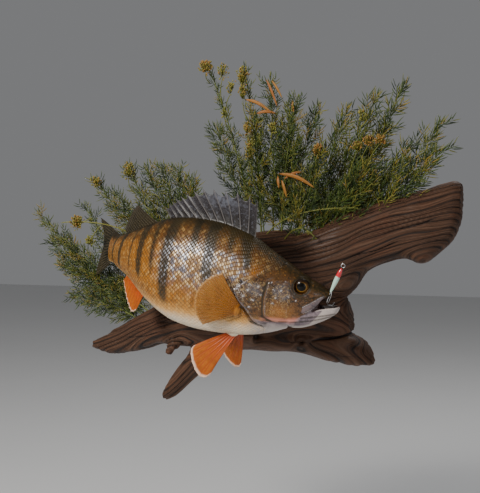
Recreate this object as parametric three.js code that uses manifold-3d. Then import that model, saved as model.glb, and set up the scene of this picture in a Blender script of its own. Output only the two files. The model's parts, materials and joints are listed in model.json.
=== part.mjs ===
// A mounted yellow perch (Perca flavescens) on driftwood with dried plants, life size, in millimetres.
// X runs to the right along the wall, Z runs up, and +Y points into the wall. The origin is at the
// centre of the hanger plate's back face, which lies on the wall.
//
// The fish is drawn straight first, in its own space: s runs back from the snout, w to the fish's left
// and n upwards. Every cut is made there. bend() then curls each vertex along the backbone.
import * as THREE from "three";
import { mergeVertices } from "three/addons/utils/BufferGeometryUtils.js";
import Module from "manifold-3d";

const wasm = await Module();
wasm.setup();

// ---------------------------------------------------------------- driving dimensions

const BODY_LENGTH = 292; // snout to the root of the tail fin
const HEAD_LENGTH = 78; // where the head is parted from the trunk, under the gill covers
const TRUNK_CUTS = [165, 232]; // the two other cuts across the body
const CUT = 0.4; // width of the thin cuts between the pieces of flesh
const GAP = 0.3; // clearance between pieces that meet
const SIDES = 18; // points round a section of the body
const STATION = 10; // spacing of the sections along the body

const SNOUT = new THREE.Vector3(90.7, -140, -31.1); // where the backbone's line meets the wall frame
const YAW = THREE.MathUtils.degToRad(16); // the head is turned this much out from the wall
const PITCH = THREE.MathUtils.degToRad(12); // and points this much downwards

// Profiles of the body, each a list of [s, millimetres] that a smooth curve runs through.
const TOP = curve([0, 3.4], [3, 7.4], [12, 11.6], [25, 16.2], [46, 26], [68, 36], [83, 43.8], [99, 48],
  [123, 51], [147, 49.6], [170, 45.6], [188, 40], [205, 32.5], [226, 23.5], [250, 15], [275, 9.4],
  [292, 10.5]);
const BOTTOM = curve([0, -1], [4, -9], [10, -20], [17, -30], [33, -36.7], [51, -45.7], [69, -52.4],
  [84, -55.8], [108, -58.7], [129, -60.2], [152, -58.8], [171, -54], [185, -48], [200, -41], [213, -34.5],
  [226, -29.5], [246, -25.6], [275, -22.4], [292, -23.4]);
const HALF_WIDTH = curve([0, 4], [3, 7.6], [10, 11.6], [20, 14.6], [40, 19], [60, 22.6], [90, 26.6],
  [120, 28.5], [150, 28.2], [180, 25.4], [205, 20.8], [230, 15.4], [255, 11], [275, 8], [292, 6]);
const WIDEST = curve([0, 1], [20, -8], [40, -10], [70, -10], [100, -14], [150, -16], [185, -12],
  [220, -8], [292, -7]);
const BACK_POWER = curve([0, 0.7], [40, 0.8], [90, 1.1], [140, 1.25]); // over 1 draws the back to a ridge
const BELLY_POWER = 0.8; // under 1 fills the belly out

// The backbone's bearing away from the head's line, and the lean of each section, in degrees.
const BEARING = curve([-30, 9], [50, 9], [110, 21], [170, 35.5], [230, 54.5], [262, 66], [292, 71],
  [320, 66], [345, 58], [370, 56]);
const LEAN = curve([-30, 8], [60, 8], [180, 5], [292, 2], [370, 2]);

const EYE = { s: 30, n: 8.2, radius: 7.7, halfDepth: 5.8, bulge: 2.1 };
const MOUTH = { corner: [12.5, -7.6], hinge: [36, -26.5] };
const GILL_COVER = { depth: 3, lift: 0.7 };

// ---------------------------------------------------------------- curves and solids

/** A monotone cubic curve through [x, y] points, held level past both ends. */
function curve(...points) {
  const x = points.map((p) => p[0]);
  const y = points.map((p) => p[1]);
  const slope = x.slice(1).map((_, i) => (y[i + 1] - y[i]) / (x[i + 1] - x[i]));
  const tangent = x.map((_, i) => {
    if (i === 0) return slope[0];
    if (i === x.length - 1) return slope[i - 1];
    if (slope[i - 1] * slope[i] <= 0) return 0;
    return (2 * slope[i - 1] * slope[i]) / (slope[i - 1] + slope[i]);
  });
  return (at) => {
    if (at <= x[0]) return y[0];
    if (at >= x.at(-1)) return y.at(-1);
    const i = x.findIndex((edge) => edge > at) - 1;
    const h = x[i + 1] - x[i];
    const t = (at - x[i]) / h;
    const rise = h * (tangent[i] * t * (1 - t) ** 2 - tangent[i + 1] * t * t * (1 - t));
    return y[i] * (1 + 2 * t) * (1 - t) ** 2 + y[i + 1] * t * t * (3 - 2 * t) + rise;
  };
}

const mix = (a, b, t) => a + (b - a) * t;
const spread = (count, make) => Array.from({ length: count }, (_, i) => make(i));

/** Signed volume of an indexed mesh: below zero when its faces point inwards. */
function signedVolume(points, faces) {
  let total = 0;
  const [a, b, c] = [new THREE.Vector3(), new THREE.Vector3(), new THREE.Vector3()];
  for (let i = 0; i < faces.length; i += 3) {
    a.copy(points[faces[i]]);
    b.copy(points[faces[i + 1]]);
    c.copy(points[faces[i + 2]]);
    total += a.dot(b.cross(c));
  }
  return total;
}

/** A closed solid from points and triangles, turned to face outwards. */
function solidFrom(points, faces) {
  const turned = signedVolume(points, faces) < 0 ? faces.toReversed() : faces;
  const vertProperties = new Float32Array(points.flatMap((p) => [p.x, p.y, p.z]));
  return new wasm.Manifold(
    new wasm.Mesh({ numProp: 3, vertProperties, triVerts: new Uint32Array(turned) }),
  );
}

/** A closed solid from a three.js geometry. */
function solidOf(geometry) {
  const bare = geometry.clone();
  bare.deleteAttribute("normal");
  bare.deleteAttribute("uv");
  const merged = mergeVertices(bare, 1e-4);
  const place = merged.getAttribute("position");
  const points = spread(place.count, (i) => new THREE.Vector3().fromBufferAttribute(place, i));
  return solidFrom(points, [...merged.index.array]);
}

/** Skins a row of closed rings, and closes both ends with a fan to the ring's centre. */
function loft(rings) {
  const around = rings[0].length;
  const points = rings.flat();
  const faces = [];
  for (let r = 0; r + 1 < rings.length; r++)
    for (let k = 0; k < around; k++) {
      const [a, b] = [r * around + k, r * around + ((k + 1) % around)];
      faces.push(a, b, b + around, a, b + around, a + around);
    }
  for (const [row, flip] of [[0, true], [rings.length - 1, false]]) {
    const centre = rings[row].reduce((sum, p) => sum.add(p), new THREE.Vector3());
    points.push(centre.divideScalar(around));
    for (let k = 0; k < around; k++) {
      const [a, b] = [row * around + k, row * around + ((k + 1) % around)];
      faces.push(...(flip ? [b, a, points.length - 1] : [a, b, points.length - 1]));
    }
  }
  return solidFrom(points, faces);
}

/** A thin closed sheet: middle(u, v) is its mid-surface, half(u, v) a vector to its upper face. */
function sheet(middle, half, columns, rows) {
  const faceOf = (side) =>
    spread(columns + 1, (i) =>
      spread(rows + 1, (j) => {
        const [u, v] = [i / columns, j / rows];
        return middle(u, v).addScaledVector(half(u, v), side);
      }),
    );
  const rings = [];
  const [upper, lower] = [faceOf(1), faceOf(-1)];
  for (let i = 0; i <= columns; i++) rings.push([...upper[i], ...lower[i].toReversed()]);
  return loft(rings);
}

/** A round bar along points, with a radius at each. */
function bar(points, radii, sides) {
  const path = new THREE.CatmullRomCurve3(points);
  const frames = path.computeFrenetFrames(points.length - 1, false);
  return loft(
    points.map((p, i) =>
      spread(sides, (k) => {
        const turn = (2 * Math.PI * k) / sides;
        return p.clone()
          .addScaledVector(frames.normals[i], radii[i] * Math.cos(turn))
          .addScaledVector(frames.binormals[i], radii[i] * Math.sin(turn));
      }),
    ),
  );
}

/** A straight prism through the whole fish, from an outline of [s, n] points. */
function prism(outline, from = -80, to = 80) {
  const shape = new THREE.Shape(outline.map(([s, n]) => new THREE.Vector2(-s, n)));
  const geometry = new THREE.ExtrudeGeometry(shape, { depth: to - from, bevelEnabled: false });
  geometry.rotateX(Math.PI / 2).translate(0, to, 0);
  return solidOf(geometry);
}

/** The largest body of a solid, without crumbs that a cut leaves. */
function largest(solid) {
  return solid.decompose().reduce((a, b) => (a.volume() > b.volume() ? a : b));
}

/** A mesh with flat facets from a solid, each vertex first moved by place. */
function pieceOf(name, solid, material, place = (p) => p) {
  const { vertProperties, numProp, triVerts } = solid.getMesh();
  const position = new Float32Array((vertProperties.length / numProp) * 3);
  for (let i = 0; i < position.length / 3; i++) {
    const at = vertProperties.subarray(i * numProp, i * numProp + 3);
    place(new THREE.Vector3(...at)).toArray(position, i * 3);
  }
  const geometry = new THREE.BufferGeometry();
  geometry.setAttribute("position", new THREE.BufferAttribute(position, 3));
  geometry.setIndex(new THREE.BufferAttribute(triVerts, 1));
  geometry.computeVertexNormals();
  const mesh = new THREE.Mesh(geometry, material);
  mesh.name = name;
  return mesh;
}

const finish = (color, roughness, metalness = 0) =>
  new THREE.MeshStandardMaterial({ color, roughness, metalness });

// ---------------------------------------------------------------- the fish's own space

/** A point of the straight fish: x points forwards, y to its left and z up. */
const at = (s, w, n) => new THREE.Vector3(-s, w, n);

/** The point of the body's surface at station s, turn radians up from its left side. */
function skin(s, turn, inset = 0) {
  const [widest, sine] = [WIDEST(s), Math.sin(turn)];
  const reach = sine > 0 ? TOP(s) - inset - widest : widest - BOTTOM(s) - inset;
  const power = sine > 0 ? BACK_POWER(s) : BELLY_POWER;
  const side = Math.sign(Math.cos(turn)) * Math.abs(Math.cos(turn)) ** power;
  return at(s, (HALF_WIDTH(s) - inset) * side, widest + reach * sine);
}

/** Half the body's width at station s and height n. */
function flank(s, n) {
  const widest = WIDEST(s);
  const reach = n > widest ? TOP(s) - widest : widest - BOTTOM(s);
  const power = n > widest ? BACK_POWER(s) : BELLY_POWER;
  const sine = Math.min(1, Math.abs(n - widest) / reach);
  return HALF_WIDTH(s) * (1 - sine * sine) ** (power / 2);
}

/** A length of the body, made smaller all round by inset (or larger, below zero). */
function bodyLength(from, to, inset = 0) {
  const count = Math.max(2, Math.round((to - from) / STATION));
  return loft(
    spread(count + 1, (i) =>
      spread(SIDES, (k) => skin(mix(from, to, i / count), (2 * Math.PI * k) / SIDES, inset)),
    ),
  );
}

// The backbone in the fish's own plane, summed once in 1 mm steps.
const BACKBONE_START = -30;
const backbone = spread(401, () => ({ along: 0, away: 0 }));
for (let i = 1; i < backbone.length; i++) {
  const angle = THREE.MathUtils.degToRad(BEARING(BACKBONE_START + i - 0.5));
  backbone[i].along = backbone[i - 1].along - Math.cos(angle);
  backbone[i].away = backbone[i - 1].away + Math.sin(angle);
}
const nose = backbone[-BACKBONE_START];

/** Carries a point of the straight fish onto the curled one, in the fish group's frame. */
function bend(point) {
  const s = -point.x;
  const i = Math.floor(s - BACKBONE_START);
  const part = s - BACKBONE_START - i;
  const along = mix(backbone[i].along, backbone[i + 1].along, part) - nose.along;
  const away = mix(backbone[i].away, backbone[i + 1].away, part) - nose.away;
  const bearing = THREE.MathUtils.degToRad(BEARING(s));
  const lean = THREE.MathUtils.degToRad(LEAN(s));
  const w = point.y * Math.cos(lean) - point.z * Math.sin(lean);
  const n = point.z * Math.cos(lean) + point.y * Math.sin(lean);
  return new THREE.Vector3(along + w * Math.sin(bearing), away + w * Math.cos(bearing), n);
}

const fish = new THREE.Group();
fish.position.copy(SNOUT);
fish.rotation.set(0, PITCH, YAW, "ZYX");
fish.updateMatrixWorld(true);
const toWall = (point) => bend(point).applyMatrix4(fish.matrixWorld);

const flesh = finish(0xb98a45, 0.35);
const pale = finish(0xd8cdb8, 0.35);
const orange = finish(0xd9632a, 0.45);
const smoky = finish(0x5c564c, 0.45);
const amber = finish(0xb07a35, 0.45);

function addFlesh(name, solid, material = flesh) {
  fish.add(pieceOf(name, largest(solid), material, bend));
}

// ---------------------------------------------------------------- head, jaw and gill covers

/** An eyeball, a flattened ball that stands out of the head's side by EYE.bulge. */
function eyeball(side, grown = 0) {
  const ball = new THREE.SphereGeometry(EYE.radius + grown, 12, 7);
  const out = flank(EYE.s, EYE.n) - EYE.halfDepth + EYE.bulge;
  ball.rotateX(Math.PI / 2).scale(1, (EYE.halfDepth + grown) / (EYE.radius + grown), 1);
  ball.translate(-EYE.s, side * out, EYE.n);
  return solidOf(ball);
}

/** The room of the lower jaw and of the open mouth over it, in side view. */
function jawRoom(shrink) {
  const [[cornerS, cornerN], [hingeS, hingeN]] = [MOUTH.corner, MOUTH.hinge];
  return prism([
    [-30, 5.6 - shrink],
    [1.2, 4.4 - shrink],
    [7.5, 0.6 - shrink],
    [cornerS, cornerN - shrink],
    [18, -16 - shrink],
    [27, -20.6 - shrink],
    [hingeS - shrink, hingeN - shrink],
    [hingeS - shrink, -30],
    [30 - shrink, -60],
    [-30, -60],
  ]);
}

/** The hollow of the mouth, from the lips back towards the throat. */
function mouthHollow() {
  const hollow = new THREE.SphereGeometry(1, 10, 6);
  hollow.scale(21, 9.5, 8).rotateY(0.5).translate(-12, 0, -7);
  return solidOf(hollow);
}

/** The lower jaw: a scoop that is blunt in front and as wide as the head at its hinge. */
function lowerJaw() {
  const rim = curve([-10, -5.2], [0, -6.4], [12, -9.4], [24, -14], [38, -22]);
  const chin = curve([-10, -10.5], [-8, -14], [-3, -19], [6, -25.6], [17, -32.2], [24, -34.6],
    [38, -38]);
  const half = curve([-10, 3.4], [-8, 6], [-4, 8.4], [4, 10.6], [14, 13], [26, 15.6], [38, 18]);
  const ringOf = (s, wall) =>
    spread(16, (k) => {
      const turn = (2 * Math.PI * k) / 16;
      const middle = (rim(s) + chin(s)) / 2;
      const reach = (rim(s) - chin(s)) / 2;
      const side = Math.sign(Math.cos(turn)) * Math.abs(Math.cos(turn)) ** 0.75;
      const rise = Math.sin(turn) * (reach - wall) + 2.5 * wall;
      return at(s, side * (half(s) - wall), middle + rise);
    });
  const stations = [-10, -8.6, -6, -2, 4, 12, 20, 28, 37];
  const outer = loft(stations.map((s) => ringOf(s, 0)));
  const trough = loft([-7, -5, 0, 9, 20].map((s) => ringOf(s, 2.2)));
  return outer.intersect(jawRoom(CUT)).subtract(trough);
}

/** A gill cover's outline in side view, let out all round by grown. */
function coverOutline(grown) {
  const edge = curve([-44, 62], [-38, 72], [-26, 82], [-10, 90], [-4, 88], [4, 86], [14, 77],
    [20, 64]);
  const heights = spread(9, (i) => mix(-44 - grown, 20 + grown, i / 8));
  return [...heights.map((n) => [edge(n) + grown, n]), [60 - grown, 20 + grown], [60 - grown, -44 - grown]];
}

/** One gill cover, a shell of the head's side that stands a little proud. */
function gillCover(side) {
  const [from, to] = side > 0 ? [1.2, 60] : [-60, -1.2];
  const { depth, lift } = GILL_COVER;
  return bodyLength(50, 100, -lift)
    .intersect(prism(coverOutline(0), from, to))
    .subtract(bodyLength(46, 104, depth));
}

/** The bed that both gill covers lie in, with a gap all round. */
const coverBed = prism(coverOutline(GAP)).subtract(bodyLength(46, 104, GILL_COVER.depth + GAP));

function addHead() {
  const head = bodyLength(0.2, HEAD_LENGTH)
    .subtract(jawRoom(0))
    .subtract(mouthHollow())
    .subtract(coverBed)
    .subtract(eyeball(1, GAP))
    .subtract(eyeball(-1, GAP));
  addFlesh("head", head);
  addFlesh("lower_jaw", lowerJaw(), pale);
  addFlesh("gill_cover_left", gillCover(1));
  addFlesh("gill_cover_right", gillCover(-1));
  addFlesh("eye_left", eyeball(1), finish(0x2a1608, 0.05));
  addFlesh("eye_right", eyeball(-1), finish(0x2a1608, 0.05));
}

// ---------------------------------------------------------------- trunk and tail

function addTrunk() {
  const cuts = [HEAD_LENGTH, ...TRUNK_CUTS, BODY_LENGTH];
  const names = ["trunk_front", "trunk_rear", "tail_stalk"];
  names.forEach((name, i) => {
    const length = bodyLength(cuts[i] + CUT, cuts[i + 1]);
    addFlesh(name, i === 0 ? length.subtract(coverBed) : length);
  });
}

// ---------------------------------------------------------------- fins

const RAY_STEPS = 2; // columns of a fin from one ray to the next
const WEB = 0.3; // half thickness of a fin's web
const bodyClear = bodyLength(0.2, BODY_LENGTH + GAP, -GAP);

/**
 * A fin of rays. root(u) and tip(u) give the ends of each ray, notch is how far the web's edge dips
 * between two rays, and sway(u, v) bows the fin sideways.
 */
function fin({ rays, rows, root, tip, notch = 0.08, thick = 0.5, grown = 0, sway = () => 0, across }) {
  const columns = (rays - 1) * RAY_STEPS;
  const isRay = (u) => Math.round(u * columns) % RAY_STEPS === 0;
  const middle = (u, v) => {
    const reach = isRay(u) ? v : v * (1 - notch);
    const point = root(u).lerp(tip(u), reach);
    return point.addScaledVector(across, sway(u, reach));
  };
  const half = (u, v) =>
    across.clone().multiplyScalar(grown + (isRay(u) ? mix(thick, WEB, v) + 0.05 : WEB));
  return sheet(middle, half, columns, rows);
}

const SIDEWAYS = new THREE.Vector3(0, 1, 0);

// How far each spine of the first dorsal leans back at its tip, and how high it stands.
const SPINE_RAKE = curve([0, 5], [0.08, 5], [0.17, 10], [0.25, 14], [0.33, 19], [0.42, 23], [0.58, 26],
  [0.75, 23], [1, 11]);
const SPINE_HEIGHT = curve([0, 36.5], [0.17, 35.5], [0.25, 33], [0.42, 28], [0.58, 20.5], [0.75, 14.5],
  [1, 8.5]);

/** The spiny first dorsal fin: thirteen spines, tall in front and laid back behind. */
function firstDorsal() {
  const base = (u) => mix(84.5, 181, u);
  return fin({
    rays: 13,
    rows: 2,
    thick: 0.8,
    notch: 0.14,
    across: SIDEWAYS,
    root: (u) => at(base(u), 0, TOP(base(u)) - 1.5),
    tip: (u) => at(base(u) + SPINE_RAKE(u), 0, TOP(base(u)) + SPINE_HEIGHT(u)),
  });
}

/** The soft second dorsal fin, laid back over the tail stalk. */
function secondDorsal() {
  const base = (u) => mix(199, 251, u);
  return fin({
    rays: 9,
    rows: 2,
    notch: 0.04,
    across: SIDEWAYS,
    root: (u) => at(base(u), 0, TOP(base(u)) - 1.5),
    tip: (u) => at(mix(242, 268, u ** 0.8), 0, 46 - 30 * u ** 1.4),
    sway: (u, v) => 2 * v * v,
  });
}

/** The anal fin, with its point low and forward. */
function analFin() {
  const base = (u) => mix(203, 237, u);
  return fin({
    rays: 8,
    rows: 2,
    notch: 0.04,
    across: SIDEWAYS,
    root: (u) => at(base(u), 0, BOTTOM(base(u)) + 1.5),
    tip: (u) => at(mix(211, 241.5, u), 0, curve([0, -61], [0.2, -64.5], [0.5, -57], [1, -35.5])(u)),
    sway: (u, v) => -2 * v * v,
  });
}

/** The tail fin, gently forked. */
function tailFin(grown = 0) {
  return fin({
    rays: 11,
    rows: 3,
    notch: 0.03,
    grown: 2 * grown,
    across: SIDEWAYS,
    root: (u) => at(BODY_LENGTH + GAP - 1, 0, mix(9.4 + grown, -22.4 - grown, u)),
    tip: (u) => {
      const fork = 12 * Math.sin(Math.PI * u) ** 1.3;
      return at(mix(348, 336, u) - fork + grown, 0, mix(18 + grown, -46 - grown, u));
    },
    sway: (u, v) => 1.5 * Math.sin(2 * Math.PI * u) * v,
  });
}

/** A paired fin that fans out from a short root: reach and swing give each ray's length and angle. */
function fan({ side, rays, hub, rootSpan, reach, swing, out, away = 0, rows = 3 }) {
  const ray = (u, length) => {
    const angle = THREE.MathUtils.degToRad(swing(u));
    const [s, n] = [hub[0] + length * Math.cos(angle), hub[1] + length * Math.sin(angle)];
    return at(s + (u - 0.5) * rootSpan[0], side * out(s, n, length), n + (u - 0.5) * rootSpan[1]);
  };
  return fin({
    rays,
    rows,
    notch: 0.03,
    across: new THREE.Vector3(0, 1, away).normalize(),
    root: (u) => ray(u, 0),
    tip: (u) => ray(u, reach(u)),
    sway: (u, v) => side * (1.5 * v + 2.5 * Math.sin(Math.PI * v)),
  });
}

/** A pectoral fin, folded back along the flank behind the gill cover. */
function pectoral(side) {
  return fan({
    side,
    rays: 8,
    hub: [83, -25],
    rootSpan: [2, -9],
    reach: (u) => 31 + 7 * Math.sin(Math.PI * u) ** 0.8,
    swing: (u) => mix(56, -33, u),
    out: (s, n, length) => flank(s, n) + 1.2 + 0.1 * length,
  });
}

const PELVIC_SHAPE = curve([0, 0.68], [0.25, 0.82], [0.5, 0.91], [0.8, 1], [1, 0.93]);

/** A pelvic fin under the breast: the near one hangs back, the far one is spread outwards. */
function pelvic(side, { hub, swing, out, reach }) {
  return fan({
    side,
    rays: 6,
    hub: [hub, -55],
    rootSpan: [-8, -1],
    reach: (u) => reach * PELVIC_SHAPE(u),
    swing,
    out: (s, n, length) => 6 + out * length,
    away: side * 0.3,
  });
}

function addFins() {
  const clear = (solid) => solid.subtract(bodyClear);
  const nearPelvic = { hub: 89, swing: (u) => mix(-34, -69, u), out: 0.14, reach: 54.5 };
  const farPelvic = { hub: 85, swing: (u) => mix(-48, -84, u), out: 0.5, reach: 41 };
  addFlesh("dorsal_fin_first", clear(firstDorsal()), smoky);
  addFlesh("dorsal_fin_second", clear(secondDorsal()), smoky);
  addFlesh("anal_fin", clear(analFin()), orange);
  addFlesh("tail_fin", clear(tailFin()), smoky);
  addFlesh("pectoral_fin_left", pectoral(1).subtract(bodyClear).subtract(gillCover(1)), amber);
  addFlesh("pectoral_fin_right", pectoral(-1).subtract(bodyClear).subtract(gillCover(-1)), amber);
  addFlesh("pelvic_fin_left", clear(pelvic(1, farPelvic)), orange);
  addFlesh("pelvic_fin_right", clear(pelvic(-1, nearPelvic)), orange);
}

// ---------------------------------------------------------------- driftwood

// Each limb is a row of stations: [x, y, z, half height, half depth]. The rings of an upright limb
// stand in vertical planes, those of the spur square to its path.
const LIMBS = {
  plank: [[0, -54, -14, 30, 40], [55, -57, -5, 37, 33], [86, -57, 5, 43, 30], [112, -55, 24, 33, 26],
    [147, -53, 36, 32, 23], [165, -52, 36, 37, 22], [184, -51, 45, 34, 20], [197, -50, 53, 30, 17],
    [206, -49, 64, 17, 11]],
  shoulder: [[-3, -54, -56, 28, 38], [55, -58, -54, 29, 29], [86, -58, -58, 22, 23], [94, -57, -67, 9, 14]],
  heel: [[-44, -54, -84, 13, 22], [-3, -56, -81, 14, 28], [39, -58, -82, 14, 27], [71, -57, -88, 16, 24],
    [94, -56, -92, 15, 20], [106, -55, -95.5, 12, 16], [117, -54, -103, 4, 8]],
  left: [[-3, -54, -66, 26, 40], [-44, -53, -70, 27, 36], [-84, -51, -69, 26, 30], [-113, -48, -72, 22, 25],
    [-131, -46, -79, 20, 21], [-149, -44, -86, 18, 18], [-166, -43, -93, 14, 15], [-185, -41, -98, 8, 11],
    [-199, -40, -99, 3.5, 5]],
  spur: [[-50, -52, -80, 17, 24], [-65, -54, -98, 14, 19], [-79, -54, -116, 10.5, 14],
    [-94, -53, -132, 9, 12], [-106, -52, -145, 6.5, 9], [-113, -51, -152, 3, 5]],
  core: [[-122, -40, -46, 12, 22], [-88, -44, -38, 32, 40], [-40, -46, -24, 46, 50], [20, -48, -18, 48, 52],
    [62, -50, -16, 34, 40]],
};
const BACK_FACE = 2.3; // the sawn back stands this far off the wall, clear of the hanger plate
const LIMB_SIDES = 10;

/** One limb, a loft of squarish rings, let out all round by grown. */
function limb(stations, upright, grown) {
  const slopeAt = (i) => {
    const [before, after] = [stations[Math.max(0, i - 1)], stations[Math.min(stations.length - 1, i + 1)]];
    return upright ? 0 : Math.atan2(after[2] - before[2], after[0] - before[0]) + Math.PI;
  };
  const squarish = (value) => Math.sign(value) * Math.abs(value) ** 0.8;
  return loft(
    stations.map(([x, y, z, height, depth], i) =>
      spread(LIMB_SIDES, (k) => {
        const turn = (2 * Math.PI * (k + 0.5)) / LIMB_SIDES;
        const rough = 1 + 0.05 * Math.sin(5 * k + 3 * i) * Math.cos(2 * k - i);
        const up = squarish(Math.sin(turn)) * (height * rough + grown);
        const out = squarish(Math.cos(turn)) * (depth * rough + grown);
        return new THREE.Vector3(x - up * Math.sin(slopeAt(i)), y + out, z + up * Math.cos(slopeAt(i)));
      }),
    ),
  );
}

const wood = finish(0x5d4435, 0.7);
const box = (size, centre) => solidOf(new THREE.BoxGeometry(...size).translate(...centre));

function driftwoodSolid(grown = 0) {
  const joined = Object.entries(LIMBS).map(([name, stations]) => limb(stations, name !== "spur", grown));
  const whole = joined.reduce((a, b) => a.add(b));
  return whole.subtract(box([600, 100, 600], [0, 50 - BACK_FACE + grown, 0]));
}

// ---------------------------------------------------------------- hanger plate and mounting rod

const PLATE = { length: 72, height: 22, thickness: 2, screwPitch: 52 };
const SCREW = { head: 3.6, shank: 1.6, length: 16, cone: 1.4, sink: 0.2 };
const ROD = { radius: 4, from: [-22, -60, -16], toStation: 138, toHeight: -6 };
const steel = finish(0xa9abad, 0.35, 1);

/** A countersunk screw that points away from the wall, let out all round by grown. */
function screw(x, grown) {
  const { head, shank, length, cone, sink } = SCREW;
  const top = grown > 0 ? 1 : -sink;
  const profile = [[0, -length - grown], [shank + grown, -length + 2], [shank + grown, -sink - cone - 0.6],
    [head + grown, -sink - 0.6], [head + grown, top], [0, top]];
  const turned = new THREE.LatheGeometry(profile.map(([r, y]) => new THREE.Vector2(r, y)), 12);
  return solidOf(turned.translate(x, 0, 0));
}

function addHanger(root, rawDriftwood) {
  const places = [-PLATE.screwPitch / 2, PLATE.screwPitch / 2];
  let plate = box([PLATE.length, PLATE.thickness, PLATE.height], [0, -PLATE.thickness / 2, 0]);
  let driftwood = rawDriftwood;
  places.forEach((x, i) => {
    const bore = screw(x, GAP);
    plate = plate.subtract(bore);
    driftwood = driftwood.subtract(bore);
    root.add(pieceOf(i ? "hanger_screw_right" : "hanger_screw_left", screw(x, 0), steel));
  });
  root.add(pieceOf("hanger_plate", plate, steel));
  return driftwood;
}

/** Moves every vertex of a solid, such as by the fish's curl. */
function moved(solid, place) {
  const { vertProperties, numProp, triVerts } = solid.getMesh();
  const points = spread(vertProperties.length / numProp, (i) =>
    place(new THREE.Vector3(...vertProperties.subarray(i * numProp, i * numProp + 3))),
  );
  return solidFrom(points, [...triVerts]);
}

/** The hidden rod that carries the fish, from the driftwood's heart to its far flank. */
function mountingRod() {
  const start = new THREE.Vector3(...ROD.from);
  const end = toWall(at(ROD.toStation, flank(ROD.toStation, ROD.toHeight) - 4, ROD.toHeight));
  const points = [0, 0.5, 1].map((t) => start.clone().lerp(end, t));
  return bar(points, [ROD.radius, ROD.radius, ROD.radius], 10)
    .subtract(driftwoodSolid(GAP))
    .subtract(moved(bodyClear, toWall));
}

// ---------------------------------------------------------------- plants

/** Even pseudo-random numbers from 0 to 1, the same ones on every run. */
function dice(seed) {
  let state = seed;
  return () => {
    state = (state * 1664525 + 1013904223) % 4294967296;
    return state / 4294967296;
  };
}

/** A thin spike from foot to tip. */
function spike(foot, tip, radius) {
  const aim = tip.clone().sub(foot);
  const first = new THREE.Vector3(0, 1, 0).cross(aim).normalize();
  const second = aim.clone().cross(first).normalize();
  const base = [0, 2.1, 4.2].map((turn) =>
    foot.clone()
      .addScaledVector(first, radius * Math.cos(turn))
      .addScaledVector(second, radius * Math.sin(turn)),
  );
  return solidFrom([...base, tip], [0, 1, 3, 1, 2, 3, 2, 0, 3, 2, 1, 0]);
}

/**
 * A spray: a stem that arches by bow, with side twigs that shorten towards its tip. It is let out all
 * round by grown.
 */
function spray({ from, to, bow, seed, twigs = 4, reach = 26, thick = 1.2 }, grown = 0) {
  const roll = dice(seed * 977);
  const [start, end] = [new THREE.Vector3(...from), new THREE.Vector3(...to)];
  const run = end.clone().sub(start);
  const sideways = new THREE.Vector3(run.z, 0, -run.x).normalize();
  const control = start.clone().lerp(end, 0.5).add(new THREE.Vector3(...bow));
  const stem = new THREE.QuadraticBezierCurve3(start, control, end);
  const radii = [thick, thick, 0.8 * thick, 0.4].map((r) => r + grown);
  const parts = [bar(stem.getPoints(3), radii, 4)];
  for (let i = 0; i < twigs; i++) {
    const place = mix(0.3, 0.94, (i + roll()) / twigs);
    const foot = stem.getPoint(place);
    const turn = (i % 2 ? 1 : -1) * mix(0.5, 1, roll());
    const aim = stem.getTangent(place).multiplyScalar(0.8).addScaledVector(sideways, turn);
    aim.y += mix(-0.25, 0.25, roll());
    aim.normalize().multiplyScalar(reach * mix(1, 0.45, place) * mix(0.75, 1.1, roll()) + grown);
    parts.push(spike(foot, foot.clone().add(aim), 0.8 + 1.5 * grown));
  }
  return parts.reduce((a, b) => a.add(b));
}

// The stems keep to layers of their own in Y, so that they pass each other without touching.
const PLANTS = {
  plant_upper: [
    { from: [-14, -34, -10], to: [-66, -38, 201], bow: [16, 0, 0], seed: 1 },
    { from: [-6, -42, -10], to: [-24, -48, 202], bow: [8, 0, 0], seed: 2 },
    { from: [2, -34, -10], to: [2, -40, 190], bow: [6, 0, 0], seed: 3 },
    { from: [20, -56, -10], to: [36, -56, 168], bow: [-14, 0, 0], seed: 4 },
    { from: [32, -62, -4], to: [62, -66, 116], bow: [-4, 0, 0], seed: 5 },
    { from: [44, -40, 0], to: [116, -40, 171], bow: [-12, 0, -14], seed: 6 },
    { from: [54, -48, 4], to: [144, -46, 182], bow: [-4, 0, -30], seed: 7 },
    { from: [62, -54, 6], to: [184, -53, 143], bow: [0, 0, -24], seed: 8 },
    { from: [70, -60, 8], to: [187, -60, 115], bow: [0, 0, -16], seed: 9 },
  ],
  plant_left: [
    { from: [-86, -26, -40], to: [-199, -24, 79], bow: [-6, 4, -14], seed: 12 },
    { from: [-82, -32, -40], to: [-159, -31, 94], bow: [-4, 0, -8], seed: 13 },
    { from: [-78, -40, -38], to: [-118, -38, 98], bow: [-2, 0, 0], seed: 14 },
    { from: [-70, -46, -36], to: [-84, -46, 84], bow: [-2, 0, 0], seed: 15 },
  ],
  plant_lower: [
    { from: [-126, -36, -72], to: [-273, -13, 43], bow: [-18, 14, -12], seed: 16, twigs: 7 },
    { from: [-120, -44, -70], to: [-241, -19, 16], bow: [-10, 14, 0], seed: 17, twigs: 7 },
    { from: [-134, -44, -76], to: [-229, -25, -48], bow: [0, 6, 12], seed: 20 },
  ],
  flower_stem: [
    { from: [-100, -52, -30], to: [-222, -76, 36], bow: [33, 0, 43], seed: 18, twigs: 4, reach: 9,
      thick: 0.9 },
  ],
  front_stem: [
    { from: [-6, -66, -4], to: [106, -80, 56], bow: [-50, 0, 32], seed: 10, twigs: 6, reach: 9, thick: 0.9 },
    { from: [12, -72, -6], to: [63, -92, 26], bow: [0, -4, 44], seed: 11, twigs: 4, reach: 8, thick: 0.9 },
  ],
};
const greenery = finish(0x5b6b2a, 0.8);

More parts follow.
